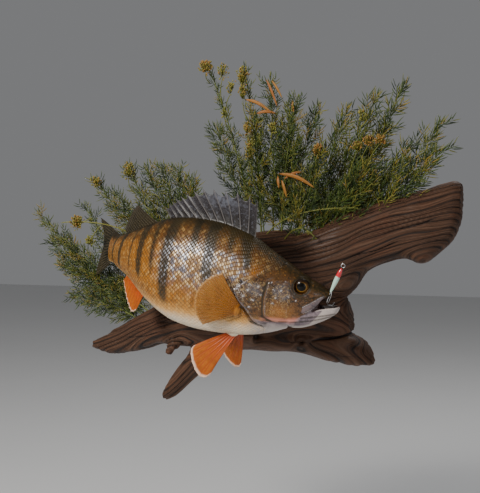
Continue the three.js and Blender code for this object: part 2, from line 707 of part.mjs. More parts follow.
function addPlants(root) {
  let taken = driftwoodSolid(GAP)
    .add(moved(bodyClear, toWall))
    .add(moved(tailFin(GAP), toWall));
  for (const [name, sprays] of Object.entries(PLANTS))
    sprays.forEach((plan, i) => {
      root.add(pieceOf(`${name}_${i + 1}`, largest(spray(plan).subtract(taken)), greenery));
      taken = taken.add(spray(plan, GAP));
    });
}

// ---------------------------------------------------------------- jig in the lip

const JIG = { top: [103, -147, 0], bottom: [91.5, -146, -24], radius: 2.4, headShare: 0.34 };

function addJig(root) {
  const [top, bottom] = [new THREE.Vector3(...JIG.top), new THREE.Vector3(...JIG.bottom)];
  const length = top.distanceTo(bottom);
  const aim = top.clone().sub(bottom).normalize();
  const turn = new THREE.Quaternion().setFromUnitVectors(new THREE.Vector3(0, 1, 0), aim);
  const lathe = (profile, sides = 10) =>
    new THREE.LatheGeometry(profile.map(([r, y]) => new THREE.Vector2(r, y)), sides)
      .applyQuaternion(turn)
      .translate(...bottom);
  const neck = length * (1 - JIG.headShare);
  const body = [[0, 0], [0.8, 0.3], [1.7, neck * 0.35], [JIG.radius, neck * 0.75],
    [JIG.radius, neck - GAP], [0, neck - GAP]];
  const head = [[0, neck], [JIG.radius, neck], [JIG.radius * 0.95, neck + 4], [1.2, length - 0.6],
    [0, length]];
  root.add(pieceOf("jig_body", solidOf(lathe(body)), finish(0xbfe3cc, 0.3)));
  root.add(pieceOf("jig_head", solidOf(lathe(head)), finish(0xc01622, 0.25)));
  const ring = new THREE.TorusGeometry(1.9, 0.35, 4, 10);
  ring.translate(0, 2.6 + GAP, 0).applyQuaternion(turn).translate(...top);
  root.add(pieceOf("jig_ring", solidOf(ring), steel));
  const wire = [[-0.4, 0, -1], [-2, 0.5, -5], [-4, 2, -10], [-3.5, 5, -13], [0, 7, -13.5],
    [2.5, 7.5, -10.5]];
  const bent = new THREE.CatmullRomCurve3(wire.map((p) => new THREE.Vector3(...p).add(bottom)));
  const hook = bar(bent.getPoints(10), spread(11, (i) => (i < 9 ? 0.45 : mix(0.45, 0.15, (i - 8) / 2))), 5);
  const placed = (point) => point.applyMatrix4(fish.matrixWorld);
  const bare = fish.children.reduce(
    (left, mesh) => left.subtract(moved(solidOf(mesh.geometry), placed)), hook);
  root.add(pieceOf("jig_hook", largest(bare), steel));
}

// ---------------------------------------------------------------- the whole mount

const mount = new THREE.Group();
addHead();
addTrunk();
addFins();
mount.add(fish);
mount.add(pieceOf("driftwood", addHanger(mount, driftwoodSolid()), wood));
mount.add(pieceOf("mounting_rod", largest(mountingRod()), steel));
addPlants(mount);
addJig(mount);

export default mount;
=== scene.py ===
# %% [markdown]
# # A mounted yellow perch
# The object is a life-size yellow perch under clear lacquer, hung on a wall on a driftwood root with dried
# plants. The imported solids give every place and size. Each cell below adds the looks of one part of it.
# Lengths are written in millimetres, as a taxidermist would measure them, and become metres at the end.

# %% Loading the fixed frame
import json
import math
import bpy
import numpy as np
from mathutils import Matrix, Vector

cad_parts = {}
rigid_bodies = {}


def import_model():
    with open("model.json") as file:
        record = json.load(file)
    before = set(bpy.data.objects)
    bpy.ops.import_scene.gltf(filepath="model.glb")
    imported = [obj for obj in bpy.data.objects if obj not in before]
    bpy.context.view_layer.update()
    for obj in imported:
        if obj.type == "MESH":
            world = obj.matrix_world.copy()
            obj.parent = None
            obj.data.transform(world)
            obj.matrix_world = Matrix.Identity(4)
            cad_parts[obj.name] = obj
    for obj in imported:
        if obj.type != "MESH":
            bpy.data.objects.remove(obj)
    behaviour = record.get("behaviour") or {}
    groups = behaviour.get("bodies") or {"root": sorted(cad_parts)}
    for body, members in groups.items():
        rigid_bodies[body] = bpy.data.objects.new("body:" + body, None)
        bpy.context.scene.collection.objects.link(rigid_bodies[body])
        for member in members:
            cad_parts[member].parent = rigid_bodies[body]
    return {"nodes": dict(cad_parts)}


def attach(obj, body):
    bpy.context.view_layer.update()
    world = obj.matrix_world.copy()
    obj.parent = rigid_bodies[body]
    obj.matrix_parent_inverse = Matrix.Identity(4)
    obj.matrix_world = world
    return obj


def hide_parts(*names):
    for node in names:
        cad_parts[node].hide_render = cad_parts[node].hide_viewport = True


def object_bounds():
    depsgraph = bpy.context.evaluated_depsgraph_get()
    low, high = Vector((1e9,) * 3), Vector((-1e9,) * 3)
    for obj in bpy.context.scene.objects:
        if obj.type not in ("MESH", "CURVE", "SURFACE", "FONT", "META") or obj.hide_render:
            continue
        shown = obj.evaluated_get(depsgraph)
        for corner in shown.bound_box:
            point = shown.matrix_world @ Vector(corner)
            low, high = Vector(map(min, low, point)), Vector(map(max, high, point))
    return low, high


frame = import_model()
cad_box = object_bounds()
MM = 0.001
print("solids:", len(frame["nodes"]), "whole box in mm:", [round(1000 * (b - a)) for a, b in zip(*cad_box)])

# %% [markdown]
# The camera stands 1.65 m in front of the mount, a little to the right of square and a little above it.
# A long lens from there keeps the fish's outline true. The wall mount faces -Y, so the camera looks to +Y.

# %% The camera
VIEW_TARGET = Vector((-14, -100, 16)) * MM
VIEW_TURN, VIEW_RISE = math.radians(16), math.radians(4)
VIEW_DISTANCE = 1650 * MM
SENSOR = 36.0  # along the picture's longer side
PICTURE_HEIGHT, PIXELS_PER_RADIAN = 493, 1610  # in the middle of the picture
LENS = SENSOR * PIXELS_PER_RADIAN / PICTURE_HEIGHT

camera = bpy.data.objects.new("camera", bpy.data.cameras.new("camera"))
bpy.context.scene.collection.objects.link(camera)
backwards = Vector((math.sin(VIEW_TURN) * math.cos(VIEW_RISE), -math.cos(VIEW_TURN) * math.cos(VIEW_RISE),
                    math.sin(VIEW_RISE)))
camera.location = VIEW_TARGET + backwards * VIEW_DISTANCE
camera.rotation_euler = backwards.to_track_quat("Z", "Y").to_euler()
camera.data.sensor_fit = "VERTICAL"
camera.data.sensor_height = SENSOR
camera.data.lens = LENS
bpy.context.scene.camera = camera
print("camera at", [round(c, 3) for c in camera.location])

# %% [markdown]
# ## Helpers for making meshes
# Nearly every piece is a grid: a table of points, row after row, whose neighbours are joined by faces. A ring
# grid joins its last column to its first, which makes a tube. The helpers work on whole arrays at once.


# %% Curves and bumps
def curve(*points):
    """A smooth curve through [x, y] points that never overshoots them, held level past both ends. Between
    two points it is a cubic whose end slopes are the harmonic mean of the slopes on either side."""
    x, y = np.array(points, float).T
    step = np.diff(y) / np.diff(x)
    product = step[:-1] * step[1:]
    inner = np.where(product > 0, 2 * product / np.where(product > 0, step[:-1] + step[1:], 1), 0)
    slope = np.concatenate([step[:1], inner, step[-1:]])

    def value(at):
        at = np.clip(at, x[0], x[-1])
        i = np.clip(np.searchsorted(x, at, "right") - 1, 0, len(x) - 2)
        h = x[i + 1] - x[i]
        t = (at - x[i]) / h
        rise = h * (slope[i] * t * (1 - t) ** 2 - slope[i + 1] * t * t * (1 - t))
        return y[i] * (1 + 2 * t) * (1 - t) ** 2 + y[i + 1] * t * t * (3 - 2 * t) + rise

    return value


def smooth(x, low=0.0, high=1.0):
    """0 below low, 1 above high, and 3t^2 - 2t^3 between them."""
    t = np.clip((x - low) / (high - low), 0, 1)
    return t * t * (3 - 2 * t)


def bell(x, width):
    """A bump of height 1 at x = 0 that falls to 0.37 at width."""
    return np.exp(-((x / width) ** 2))


def mix(a, b, t):
    return a + (b - a) * t


def unit(v):
    return v / np.maximum(np.linalg.norm(v, axis=-1, keepdims=True), 1e-12)


def ripple(*parts):
    """Smooth roughness from -1 to 1: the mean of sines, each of a phase array and a start."""
    return sum(np.sin(p) for p in parts) / len(parts)


print("a bell at half its width:", bell(0.5, 1).round(2))


# %% Faces of grids and tubes
def grid_faces(rows, columns, closed=False, start=0):
    """Quads between the points of a rows x columns table. closed also joins the last column to the first."""
    r, c = np.meshgrid(np.arange(rows - 1), np.arange(columns if closed else columns - 1), indexing="ij")
    a, b = r * columns + c, r * columns + (c + 1) % columns
    return start + np.stack([a, b, b + columns, a + columns], -1).reshape(-1, 4)


def facing_out(points, faces):
    """The same closed shell with its faces turned outwards: its volume, summed over triangles from the
    middle, is above zero when they are."""
    p = points - points.mean(0)
    a, b, c, d = (p[faces[:, k]] for k in range(4))
    volume = (np.cross(a, b) * c).sum() + (np.cross(a, c) * d).sum()
    return points, faces if volume > 0 else np.concatenate([faces[:, 1::-1], faces[:, :1:-1]], 1)


def tube(rings):
    """(points, faces) of a closed skin over a (rows, around, 3) table of rings, its ends closed by caps
    that meet in the ring's middle."""
    rows, around = rings.shape[:2]
    points = np.concatenate([rings.reshape(-1, 3), rings[:1].mean(1), rings[-1:].mean(1)])
    k = np.arange(around)
    after = (k + 1) % around
    base, middle = (rows - 1) * around, np.full(around, rows * around)
    caps = [np.stack([after, k, middle, middle], -1),
            np.stack([k + base, after + base, middle + 1, middle + 1], -1)]
    faces = np.concatenate([grid_faces(rows, around, True), *caps])
    return facing_out(points, faces)


def join(*shapes):
    """Several (points, faces) pairs as one."""
    starts = np.cumsum([0] + [len(p) for p, _ in shapes[:-1]])
    return (np.concatenate([p for p, _ in shapes]),
            np.concatenate([f + s for (_, f), s in zip(shapes, starts)]))


print("faces of a 3 x 4 ring grid:", len(grid_faces(3, 4, True)))


# %% From arrays to a piece
def mesh_of(name, points, faces, attributes=None):
    """A smooth-shaded mesh. A face whose last two corners are the same point is a triangle. Attributes are
    arrays of one number, or of three, for each point."""
    mesh = bpy.data.meshes.new(name)
    three = faces[:, 2] == faces[:, 3]
    corners = np.ones(faces.shape, bool)
    corners[three, 3] = False
    loops = faces[corners]
    totals = np.where(three, 3, 4)
    mesh.vertices.add(len(points))
    mesh.vertices.foreach_set("co", np.ascontiguousarray(points, np.float32).ravel())
    mesh.loops.add(len(loops))
    mesh.loops.foreach_set("vertex_index", loops.astype(np.int32))
    mesh.polygons.add(len(faces))
    mesh.polygons.foreach_set("loop_start", np.concatenate([[0], np.cumsum(totals)[:-1]]).astype(np.int32))
    mesh.polygons.foreach_set("use_smooth", np.ones(len(faces), bool))
    mesh.update(calc_edges=True)
    mesh.validate()
    for key, values in (attributes or {}).items():
        values = np.ascontiguousarray(values, np.float32)
        layer = mesh.attributes.new(key, "FLOAT" if values.ndim == 1 else "FLOAT_VECTOR", "POINT")
        layer.data.foreach_set("value" if values.ndim == 1 else "vector", values.ravel())
    return mesh


def piece(name, points, faces, material, attributes=None, replaces=()):
    """A finished piece from points in metres: it rides on the mount and hides the solids
    that it stands for."""
    obj = bpy.data.objects.new(name, mesh_of(name, points, faces, attributes))
    bpy.context.scene.collection.objects.link(obj)
    obj.data.materials.append(material)
    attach(obj, "root")
    if replaces:
        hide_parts(*replaces)
    print(f"{name}: {len(points)} points, {int(np.where(faces[:, 2] == faces[:, 3], 1, 2).sum())} triangles")
    return obj

# %% [markdown]
# ## The fish's own space
# The fish is drawn straight: s runs back from the snout, w to its left and n upwards. One function then
# curls every point along the backbone onto the wall, so a scale, a fin ray and the skin under them all
# follow the same bend. The profiles are the ones the solids were made from.

# %% Profiles of the body
BODY_LENGTH = 292.0  # snout to the root of the tail fin
TOP = curve([0, 3.4], [3, 7.4], [12, 11.6], [25, 16.2], [46, 26], [68, 36], [83, 43.8], [99, 48], [123, 51],
            [147, 49.6], [170, 45.6], [188, 40], [205, 32.5], [226, 23.5], [250, 15], [275, 9.4], [292, 10.5])
BOTTOM = curve([0, -1], [4, -9], [10, -20], [17, -30], [33, -36.7], [51, -45.7], [69, -52.4], [84, -55.8],
               [108, -58.7], [129, -60.2], [152, -58.8], [171, -54], [185, -48], [200, -41], [213, -34.5],
               [226, -29.5], [246, -25.6], [275, -22.4], [292, -23.4])
HALF_WIDTH = curve([0, 4], [3, 7.6], [10, 11.6], [20, 14.6], [40, 19], [60, 22.6], [90, 26.6], [120, 28.5],
                   [150, 28.2], [180, 25.4], [205, 20.8], [230, 15.4], [255, 11], [275, 8], [292, 6])
WIDEST = curve([0, 1], [20, -8], [40, -10], [70, -10], [100, -14], [150, -16], [185, -12], [220, -8],
               [292, -7])
BACK_POWER = curve([0, 0.7], [40, 0.8], [90, 1.1], [140, 1.25])
BELLY_POWER = 0.8
BEARING = curve([-30, 9], [50, 9], [110, 21], [170, 35.5], [230, 54.5], [262, 66], [292, 71], [320, 66],
                [345, 58], [370, 56])  # degrees that the backbone has turned to the wall
LEAN = curve([-30, 8], [60, 8], [180, 5], [292, 2], [370, 2])  # degrees that a section leans back
SNOUT = np.array([90.7, -140, -31.1])
YAW, PITCH = math.radians(16), math.radians(12)
NEAR, FAR = -1, 1  # the two flanks: the fish shows its right side, where w is below zero
print("depth of the trunk, in mm:", (TOP(130) - BOTTOM(130)).round(1))


# %% From the straight fish to the wall
def half_width_at(s, n):
    """Half the body's width at station s and height n: the width there times (1 - r^2)^(p/2), where r is
    the height's share of the way from the widest level to the back or belly."""
    widest = WIDEST(s)
    reach = np.where(n > widest, TOP(s) - widest, widest - BOTTOM(s))
    power = np.where(n > widest, BACK_POWER(s), BELLY_POWER)
    share = np.minimum(1, np.abs(n - widest) / reach)
    return HALF_WIDTH(s) * (1 - share**2) ** (power / 2)


backbone_s = np.arange(-30.0, 371.0)
backbone_turn = np.radians(BEARING(backbone_s[:-1] + 0.5))
backbone_along = -np.concatenate([[0], np.cumsum(np.cos(backbone_turn))])
backbone_away = np.concatenate([[0], np.cumsum(np.sin(backbone_turn))])
backbone_along -= np.interp(0, backbone_s, backbone_along)
backbone_away -= np.interp(0, backbone_s, backbone_away)


def to_wall(s, w, n):
    """Points of the straight fish, in metres on the wall. Each leans by LEAN about its backbone point,
    which lies where the backbone's bearings sum to, and the whole is pitched and turned about the snout."""
    s, w, n = np.broadcast_arrays(np.asarray(s, float), w, n)
    bearing, lean = np.radians(BEARING(s)), np.radians(LEAN(s))
    side = w * np.cos(lean) - n * np.sin(lean)
    z = n * np.cos(lean) + w * np.sin(lean)
    x = np.interp(s, backbone_s, backbone_along) + side * np.sin(bearing)
    y = np.interp(s, backbone_s, backbone_away) + side * np.cos(bearing)
    x, z = x * math.cos(PITCH) + z * math.sin(PITCH), z * math.cos(PITCH) - x * math.sin(PITCH)
    x, y = x * math.cos(YAW) - y * math.sin(YAW), x * math.sin(YAW) + y * math.cos(YAW)
    return (np.stack([x, y, z], -1) + SNOUT) * MM


print("backbone at s = 150, in mm:", (1000 * to_wall(150, 0, 0)).round(1))

# %% [markdown]
# Scales lie in rows, so a flank needs a ruler that runs down over its curve. Each section is measured once
# from back to belly, and a table then turns a share of that arc, 0 on the back and 1 under the belly, into
# a height and a half width.


# %% A ruler down the flank
def section_arc(s, count=201, fine=601):
    """Half sections at each station s: (half widths, heights, arc length), evenly spaced along the arc."""
    s = np.asarray(s, float)[:, None]
    turn = np.linspace(math.pi / 2, -math.pi / 2, fine)[None]
    widest, up = WIDEST(s), turn > 0
    n = widest + np.where(up, TOP(s) - widest, widest - BOTTOM(s)) * np.sin(turn)
    w = HALF_WIDTH(s) * np.maximum(np.cos(turn), 0) ** np.where(up, BACK_POWER(s), BELLY_POWER)
    arc = np.concatenate([0 * s, np.cumsum(np.hypot(np.diff(w), np.diff(n)), 1)], 1)
    share = np.linspace(0, 1, count)
    even = [np.stack([np.interp(share * a[-1], a, v) for a, v in zip(arc, values)]) for values in (w, n)]
    return even[0], even[1], arc[:, -1]


ruler_s = np.arange(0.2, BODY_LENGTH + 0.1, 0.6)
ruler_w, ruler_n, ruler_arc = section_arc(ruler_s)


def on_flank(s, share):
    """(half width, height) at station s and share of the arc from back to belly, read from the ruler."""
    r = np.clip((s - ruler_s[0]) / (ruler_s[1] - ruler_s[0]), 0, len(ruler_s) - 1.001)
    c = np.clip(share, 0, 1) * (ruler_w.shape[1] - 1.001)
    i, j = r.astype(int), c.astype(int)
    u, v = r - i, c - j
    return [t[i, j] * (1 - u) * (1 - v) + t[i + 1, j] * u * (1 - v) + t[i, j + 1] * (1 - u) * v
            + t[i + 1, j + 1] * u * v for t in (ruler_w, ruler_n)]


print("flank at mid-body, back to belly, in mm:", ruler_arc[len(ruler_arc) // 2].round(1))

# %% [markdown]
# ## The skin
# One skin covers the whole fish, from the lips to the root of the tail, so no cut shows. It is made from a
# few overlapping closed shells: the body with the roof of the mouth, the scoop of the lower jaw, the lips,
# the two paddles of the upper jaw and the tongue. A voxel remesh then melts them into one surface. Shells
# that overlap are far easier to shape by formula than one sheet with a mouth in it.
#
# The bones of the head show as relief: a height in millimetres at each place of the side view. A free edge,
# such as the gill cover's, is a step; a ridge or a groove is a bump along a line.


# %% Lines of the head
def line_gap(line, along, across):
    """Signed distance in the side view from a point to the line across = line(along), positive where
    across is less, worked out from the line's slope."""
    slope = (line(along + 0.25) - line(along - 0.25)) / 0.5
    return (line(along) - across) / np.hypot(1, slope)


MOUTH_ROOF = curve([-5, 5.2], [1.2, 4.4], [7.5, 0.6], [12.5, -7.6], [18, -16], [27, -20.6], [35, -26.5],
                   [38, -60], [40, -80])  # the lower edge of the upper head, in side view
ROOF_HOLLOW = curve([0, 0], [4, 2.2], [12, 6.5], [24, 6], [34, 0])
GILL_EDGE = curve([-39, 56], [-34.5, 68.5], [-24, 77.5], [-14.6, 87], [-6, 90.5], [1, 85.5], [8, 79],
                  [16, 68])
CHEEK_EDGE = curve([-32, 38], [-30.5, 48], [-26, 59.5], [-16.6, 61.2], [-8, 62.2], [6, 61], [12, 56])
MEMBRANE_EDGE = curve([24, -26.5], [34, -30.6], [49, -32.4], [62, -33.4], [70, -32])
EYE_BROW_LINE = curve([8, 1.5], [14, -1.5], [24, -4.8], [33, -4.4], [39, -0.5], [42.5, 6], [43.5, 12])
EYE_S, EYE_N = 29.8, 8.6
NOSTRILS = [(11.6, 8.3, 0.9), (16.6, 10.4, 1.1)]
print("from snout to gill edge, in mm:", GILL_EDGE(-6).round(1))


# %% Relief of the head and of the scaly skin
def head_relief(s, n):
    """Height of the head's bones over the plain section, in mm, at each place of the side view."""
    gill, cheek = line_gap(GILL_EDGE, n, s), line_gap(CHEEK_EDGE, n, s)
    behind_cheek = smooth(s, 57, 62) * smooth(-n, -15, -7)
    relief = behind_cheek * 1.9 * smooth(gill, 0, 1.1) * (1 - 0.7 * smooth(gill, 2, 20))
    relief -= behind_cheek * 0.8 * bell(gill + 1.3, 1.1)
    relief -= behind_cheek * 0.3 * bell(gill - 8 - 0.2 * n, 0.9) * smooth(-n, 2, 10)
    face = smooth(n, -31, -28) * smooth(-n, -13, -8)
    relief += face * 1.3 * smooth(cheek, 0, 0.7) * (1 - 0.8 * smooth(cheek, 1, 9))
    relief += face * bell(cheek, 0.9) * 0.22 * np.sin(2.6 * n + 0.6 * s)
    relief -= face * 0.55 * bell(cheek + 1.3, 1.1) + face * 0.35 * bell(cheek - 5.5, 0.9)
    relief += 0.9 * bell(np.hypot(s - 47, 1.1 * (n + 9)), 9)
    membrane = line_gap(MEMBRANE_EDGE, s, n)
    under_cheek = smooth(s, 24, 30) * smooth(-s, -70, -60)
    relief += under_cheek * 0.8 * smooth(-membrane, 0, 0.8) * (1 - smooth(-membrane, 1.5, 6))
    relief -= under_cheek * 0.5 * bell(membrane - 0.8, 0.9)
    brow = line_gap(EYE_BROW_LINE, s, n)
    by_eye = smooth(s, 8, 12) * smooth(-s, -45, -41)
    relief += by_eye * (0.45 * bell(brow, 0.9) - 0.3 * bell(brow + 2.2, 1.2))
    from_eye = np.hypot(s - EYE_S, n - EYE_N)
    socket = 5.5 * smooth(-from_eye, -7.1, -6.2)
    relief += 0.55 * bell(from_eye - 8.0, 0.8) - 0.35 * bell(from_eye - 9.7, 0.8) - socket
    for place_s, place_n, size in NOSTRILS:
        away = np.hypot(s - place_s, n - place_n)
        relief += 0.35 * bell(away - size - 0.5, 0.5) - 1.4 * bell(away, size)
    bony = smooth(-s, -58, -50) * smooth(from_eye, 9, 12) * smooth(n, -20, -8)
    return relief + bony * 0.11 * ripple(1.9 * s + 1.1 * n, 1.3 * s - 2.1 * n + 2, 2.7 * n + 0.4 * s)


SCALE_DEPTH = 0.6  # the skin lies this far inside the body's true outline where scales cover it


def scales_from(n):
    """The station behind which the skin carries scales, at each height of the side view."""
    return np.where(n > 12, mix(70, 50, smooth(n, 12, 26)), np.where(n < -34, 54, GILL_EDGE(n) - 1))


def skin_lift(s, n):
    """How far the skin lies outside (or inside, below zero) the plain section: the head's relief, less the
    depth of the scales."""
    inset = 0.15 + (SCALE_DEPTH - 0.15) * smooth(s - scales_from(n), -1, 3)
    return head_relief(s, n) * (s < 96) - np.minimum(inset, 0.5 * np.minimum(s, 1))


print("relief of the gill cover, in mm:", head_relief(72.0, -12.0).round(2))


# %% The body's shell, with the roof of the mouth
def body_shell():
    """The sections of the body, each from back to belly and up the other side. Each point moves inwards by
    the scales' depth and outwards by the head's relief, and nothing hangs below the roof of the mouth."""
    s = np.concatenate([np.arange(0.2, 96, 0.5), np.arange(96, BODY_LENGTH - 0.6, 1.2), [BODY_LENGTH - 0.5]])
    w, n, _ = section_arc(s, 181, 1201)
    out = unit(np.stack([-np.gradient(n, axis=1), np.gradient(w, axis=1)], -1))
    station = s[:, None] + 0 * w
    lift = skin_lift(station, n)
    fade = smooth(w, 0, 2.5)  # relief belongs to the sides: it fades where the two sides meet
    lift = np.where(lift < -1, lift * fade, lift)
    w, n = np.maximum(w + out[..., 0] * lift, 0), n + out[..., 1] * lift
    edge = half_width_at(station, MOUTH_ROOF(station))
    below = n < MOUTH_ROOF(station)
    w = np.where(below, np.minimum(w, edge), w)
    roof = MOUTH_ROOF(station) + ROOF_HOLLOW(station) * (1 - (w / np.maximum(edge, 0.1)) ** 2)
    n = np.where(below, roof, n)
    near = np.stack([station, -w, n], -1)
    far = np.stack([station, w, n], -1)[:, -2:0:-1]
    return tube(np.concatenate([near, far], 1))


# %% The scoop of the lower jaw
JAW_RIM = curve([-10, -5.2], [0, -6.4], [12, -9.4], [24, -14], [38, -22])
JAW_CHIN = curve([-10, -10.2], [-8, -13.6], [-3, -18.6], [6, -25.3], [17, -31.9], [24, -34.6], [31, -35.6],
                 [42, -34])
JAW_HALF = curve([-10, 3.2], [-8, 5.8], [-4, 8.2], [4, 10.4], [14, 12.8], [26, 15.6], [34, 16.6], [42, 13])
JAW_TROUGH = curve([-10, 0.2], [-7, 2.5], [0, 5.5], [12, 8], [24, 9], [38, 6])
LIP_TURN = math.radians(40)  # where the jaw's outside turns in to its lip


def jaw_lip(s):
    """(half width, height) of the lower jaw's lip at station s."""
    middle, reach = (JAW_RIM(s) + JAW_CHIN(s)) / 2, (JAW_RIM(s) - JAW_CHIN(s)) / 2
    return JAW_HALF(s) * math.cos(LIP_TURN) ** 0.75, middle + reach * math.sin(LIP_TURN)


def jaw_shell():
    """A scoop: outside, a squarish ellipse from lip to lip under the chin, with two grooves along it;
    inside, a trough that is deepest along the middle. It is blunt in front."""
    s = np.concatenate([[-10, -9.7, -9.2, -8.5], np.linspace(-7.6, 42, 96)])[:, None]
    turn = np.linspace(LIP_TURN, -math.pi - LIP_TURN, 120)[None]
    middle, reach = (JAW_RIM(s) + JAW_CHIN(s)) / 2, (JAW_RIM(s) - JAW_CHIN(s)) / 2
    rise = np.sin(turn)
    groove = 0.45 * (bell(rise - 0.15, 0.09) + bell(rise + 0.3, 0.09)) * smooth(s, -8, -3)
    outer_w = np.sign(np.cos(turn)) * np.abs(np.cos(turn)) ** 0.75 * (JAW_HALF(s) - groove)
    outer_n = middle + reach * rise
    lip_w, lip_n = jaw_lip(s)
    across = np.linspace(-1, 1, 50)[None, 1:-1]
    inner_n = lip_n - JAW_TROUGH(s) * (1 - across**2) ** 0.8
    w = np.concatenate([outer_w, lip_w * across], 1)
    n = np.concatenate([outer_n, inner_n], 1)
    return tube(np.stack([s + 0 * w, w, n], -1))


print("the jaw's lip at s = 0, in mm:", [float(round(v, 1)) for v in jaw_lip(0.0)])


# %% The lips
def rope(path, radius, around=14, helper=(0.03, 0.02, 1.0)):
    """A tube of the given radii along a path. Each ring stands square to the path: its axes are the path's
    direction crossed with a helper direction, nearly upright, and crossed again."""
    ahead = unit(np.gradient(path, axis=0))
    first = unit(np.cross(ahead, helper))
    second = np.cross(ahead, first)
    turn = np.linspace(0, 2 * math.pi, around, endpoint=False)[None, :, None]
    radius = (np.asarray(radius) + 0 * path[:, 0])[:, None, None]
    return tube(path[:, None] + radius * (first[:, None] * np.cos(turn) + second[:, None] * np.sin(turn)))


def lips():
    """The upper lip follows the roof's edge and the lower lip the jaw's, both round the front."""
    t = np.linspace(-1, 1, 81)
    front = np.minimum(1, np.abs(t) / 0.2) ** 0.8 * np.sign(t)
    s = mix(0.9, 14.6, np.abs(t) ** 1.5)
    upper = np.stack([s, front * half_width_at(s, MOUTH_ROOF(s)) * 0.97, MOUTH_ROOF(s) + 0.35], -1)
    s = mix(-9.6, 17, np.abs(t) ** 1.5)
    lip_w, lip_n = jaw_lip(s)
    lower = np.stack([s, front * lip_w * 0.97, lip_n - 0.2], -1)
    return join(rope(upper, mix(1.35, 1.0, np.abs(t))), rope(lower, mix(1.3, 0.9, np.abs(t))))


print("points in the lips:", len(lips()[0]))


# %% The upper jaw's paddles, the tongue and the folds of the mouth
def paddle(side):
    """The maxilla, a plate that widens back from the snout over the corner of the mouth. It stands on the
    flank, 0.8 mm thick, with rounded edges."""
    t, across = np.linspace(0, 1, 40)[:, None], np.linspace(0, 2 * math.pi, 36, endpoint=False)[None]
    middle_s, middle_n = mix(7.5, 21.6, t), 2.3 - 15 * t**1.15
    half = (0.8 + 3.4 * t**1.1) * np.sqrt(np.clip(1 - np.maximum(0, (t - 0.86) / 0.15) ** 2, 0.02, 1))
    s = middle_s + 0.70 * half * np.cos(across)
    n = middle_n + 0.72 * half * np.cos(across)
    outwards = half_width_at(s, np.maximum(n, -9)) + 0.25 + 0.95 * np.sin(across) - 0.05 * t * half
    return tube(np.stack([s, side * outwards, n], -1))


def fin_pads():
    """The fleshy pads that carry the paired fins: flattened balls at (s, half width, n) with three radii."""
    rise = np.linspace(0.02, math.pi - 0.02, 17)[:, None]
    turn = np.linspace(0, 2 * math.pi, 24, endpoint=False)
    pectoral = (85.5, half_width_at(85.5, -25.5) + 0.2, -25.5, 4.5, 2.4, 7.5)
    pelvic = (89, 6.5, -54, 6, 3.2, 4.2)
    pads = []
    for side in (NEAR, FAR):
        for s, w, n, length, depth, height in (pectoral, pelvic):
            pads.append(tube(np.stack([s + length * np.sin(rise) * np.cos(turn),
                                       side * w + depth * np.sin(rise) * np.sin(turn),
                                       n + height * np.cos(rise) + 0 * turn], -1)))
    return join(*pads)


def tongue():
    """A low rounded tongue that lies in the jaw's trough."""
    t, turn = np.linspace(0.04, 1, 30)[:, None], np.linspace(0, 2 * math.pi, 24, endpoint=False)[None]
    s = mix(-1, 30, t)
    _, lip_n = jaw_lip(s)
    half = 5.2 * np.sqrt(np.minimum(1, 3 * t))
    n = lip_n - 0.75 * JAW_TROUGH(s) + 2.0 * np.sqrt(np.minimum(1, 3 * t)) * np.sin(turn)
    return tube(np.stack([s + 0 * turn, half * np.cos(turn), n], -1))


def shaded_mouth_fold(side):
    """A fold of skin that closes the corner of the mouth, between the jaw's lip and the roof, painted dark as
    the shade inside the mouth. Its rings are thin loops, one above another, 1.2 mm thick."""
    v, turn = np.linspace(0, 1, 14)[:, None], np.linspace(0, 2 * math.pi, 28, endpoint=False)[None]
    s = mix(6.0 + 2.5 * np.sin(math.pi * v), 21, 0.5 + 0.5 * np.cos(turn))
    lip_w, lip_n = jaw_lip(s)
    outer = mix(lip_w, half_width_at(s, MOUTH_ROOF(s)), v) - 2.6
    height = mix(lip_n - 1.2, MOUTH_ROOF(s) + 1.5, v)
    return tube(np.stack([s, side * (outer + 0.6 * np.sin(turn)), height], -1))


shells = join(body_shell(), jaw_shell(), lips(), paddle(NEAR), paddle(FAR), fin_pads(), tongue(),
              shaded_mouth_fold(NEAR), shaded_mouth_fold(FAR))
print("overlapping shells:", len(shells[0]), "points")

# %% [markdown]
# The remesh and a light smoothing run here, on the straight fish in millimetres, and are applied at once.
# What is kept is one closed surface whose points still know their place along and across the fish.

# %% Melting the shells into one surface
SKIN_VOXEL = 0.92


def melted(points, faces, voxel, smoothing):
    """(points, faces) of one surface round overlapping closed shells, in the same units."""
    obj = bpy.data.objects.new("shells", mesh_of("shells", points, faces))
    bpy.context.scene.collection.objects.link(obj)
    remesh = obj.modifiers.new("melt", "REMESH")
    remesh.mode, remesh.voxel_size = "VOXEL", voxel
    soften = obj.modifiers.new("soften", "SMOOTH")
    soften.factor, soften.iterations = 0.5, smoothing
    bpy.context.view_layer.update()
    mesh = obj.evaluated_get(bpy.context.evaluated_depsgraph_get()).to_mesh()
    made = np.zeros(len(mesh.vertices) * 3)
    mesh.vertices.foreach_get("co", made)
    totals = np.zeros(len(mesh.polygons), int)
    mesh.polygons.foreach_get("loop_total", totals)
    corners = np.zeros(len(mesh.loops), int)
    mesh.loops.foreach_get("vertex_index", corners)
    starts = np.concatenate([[0], np.cumsum(totals)[:-1]])
    quads = np.stack([corners[starts + np.minimum(k, totals - 1)] for k in range(4)], -1)
    bpy.data.objects.remove(obj)
    return made.reshape(-1, 3), quads


skin_place, skin_faces = melted(*shells, SKIN_VOXEL, 2)
print("skin:", len(skin_place), "points", len(skin_faces), "faces")
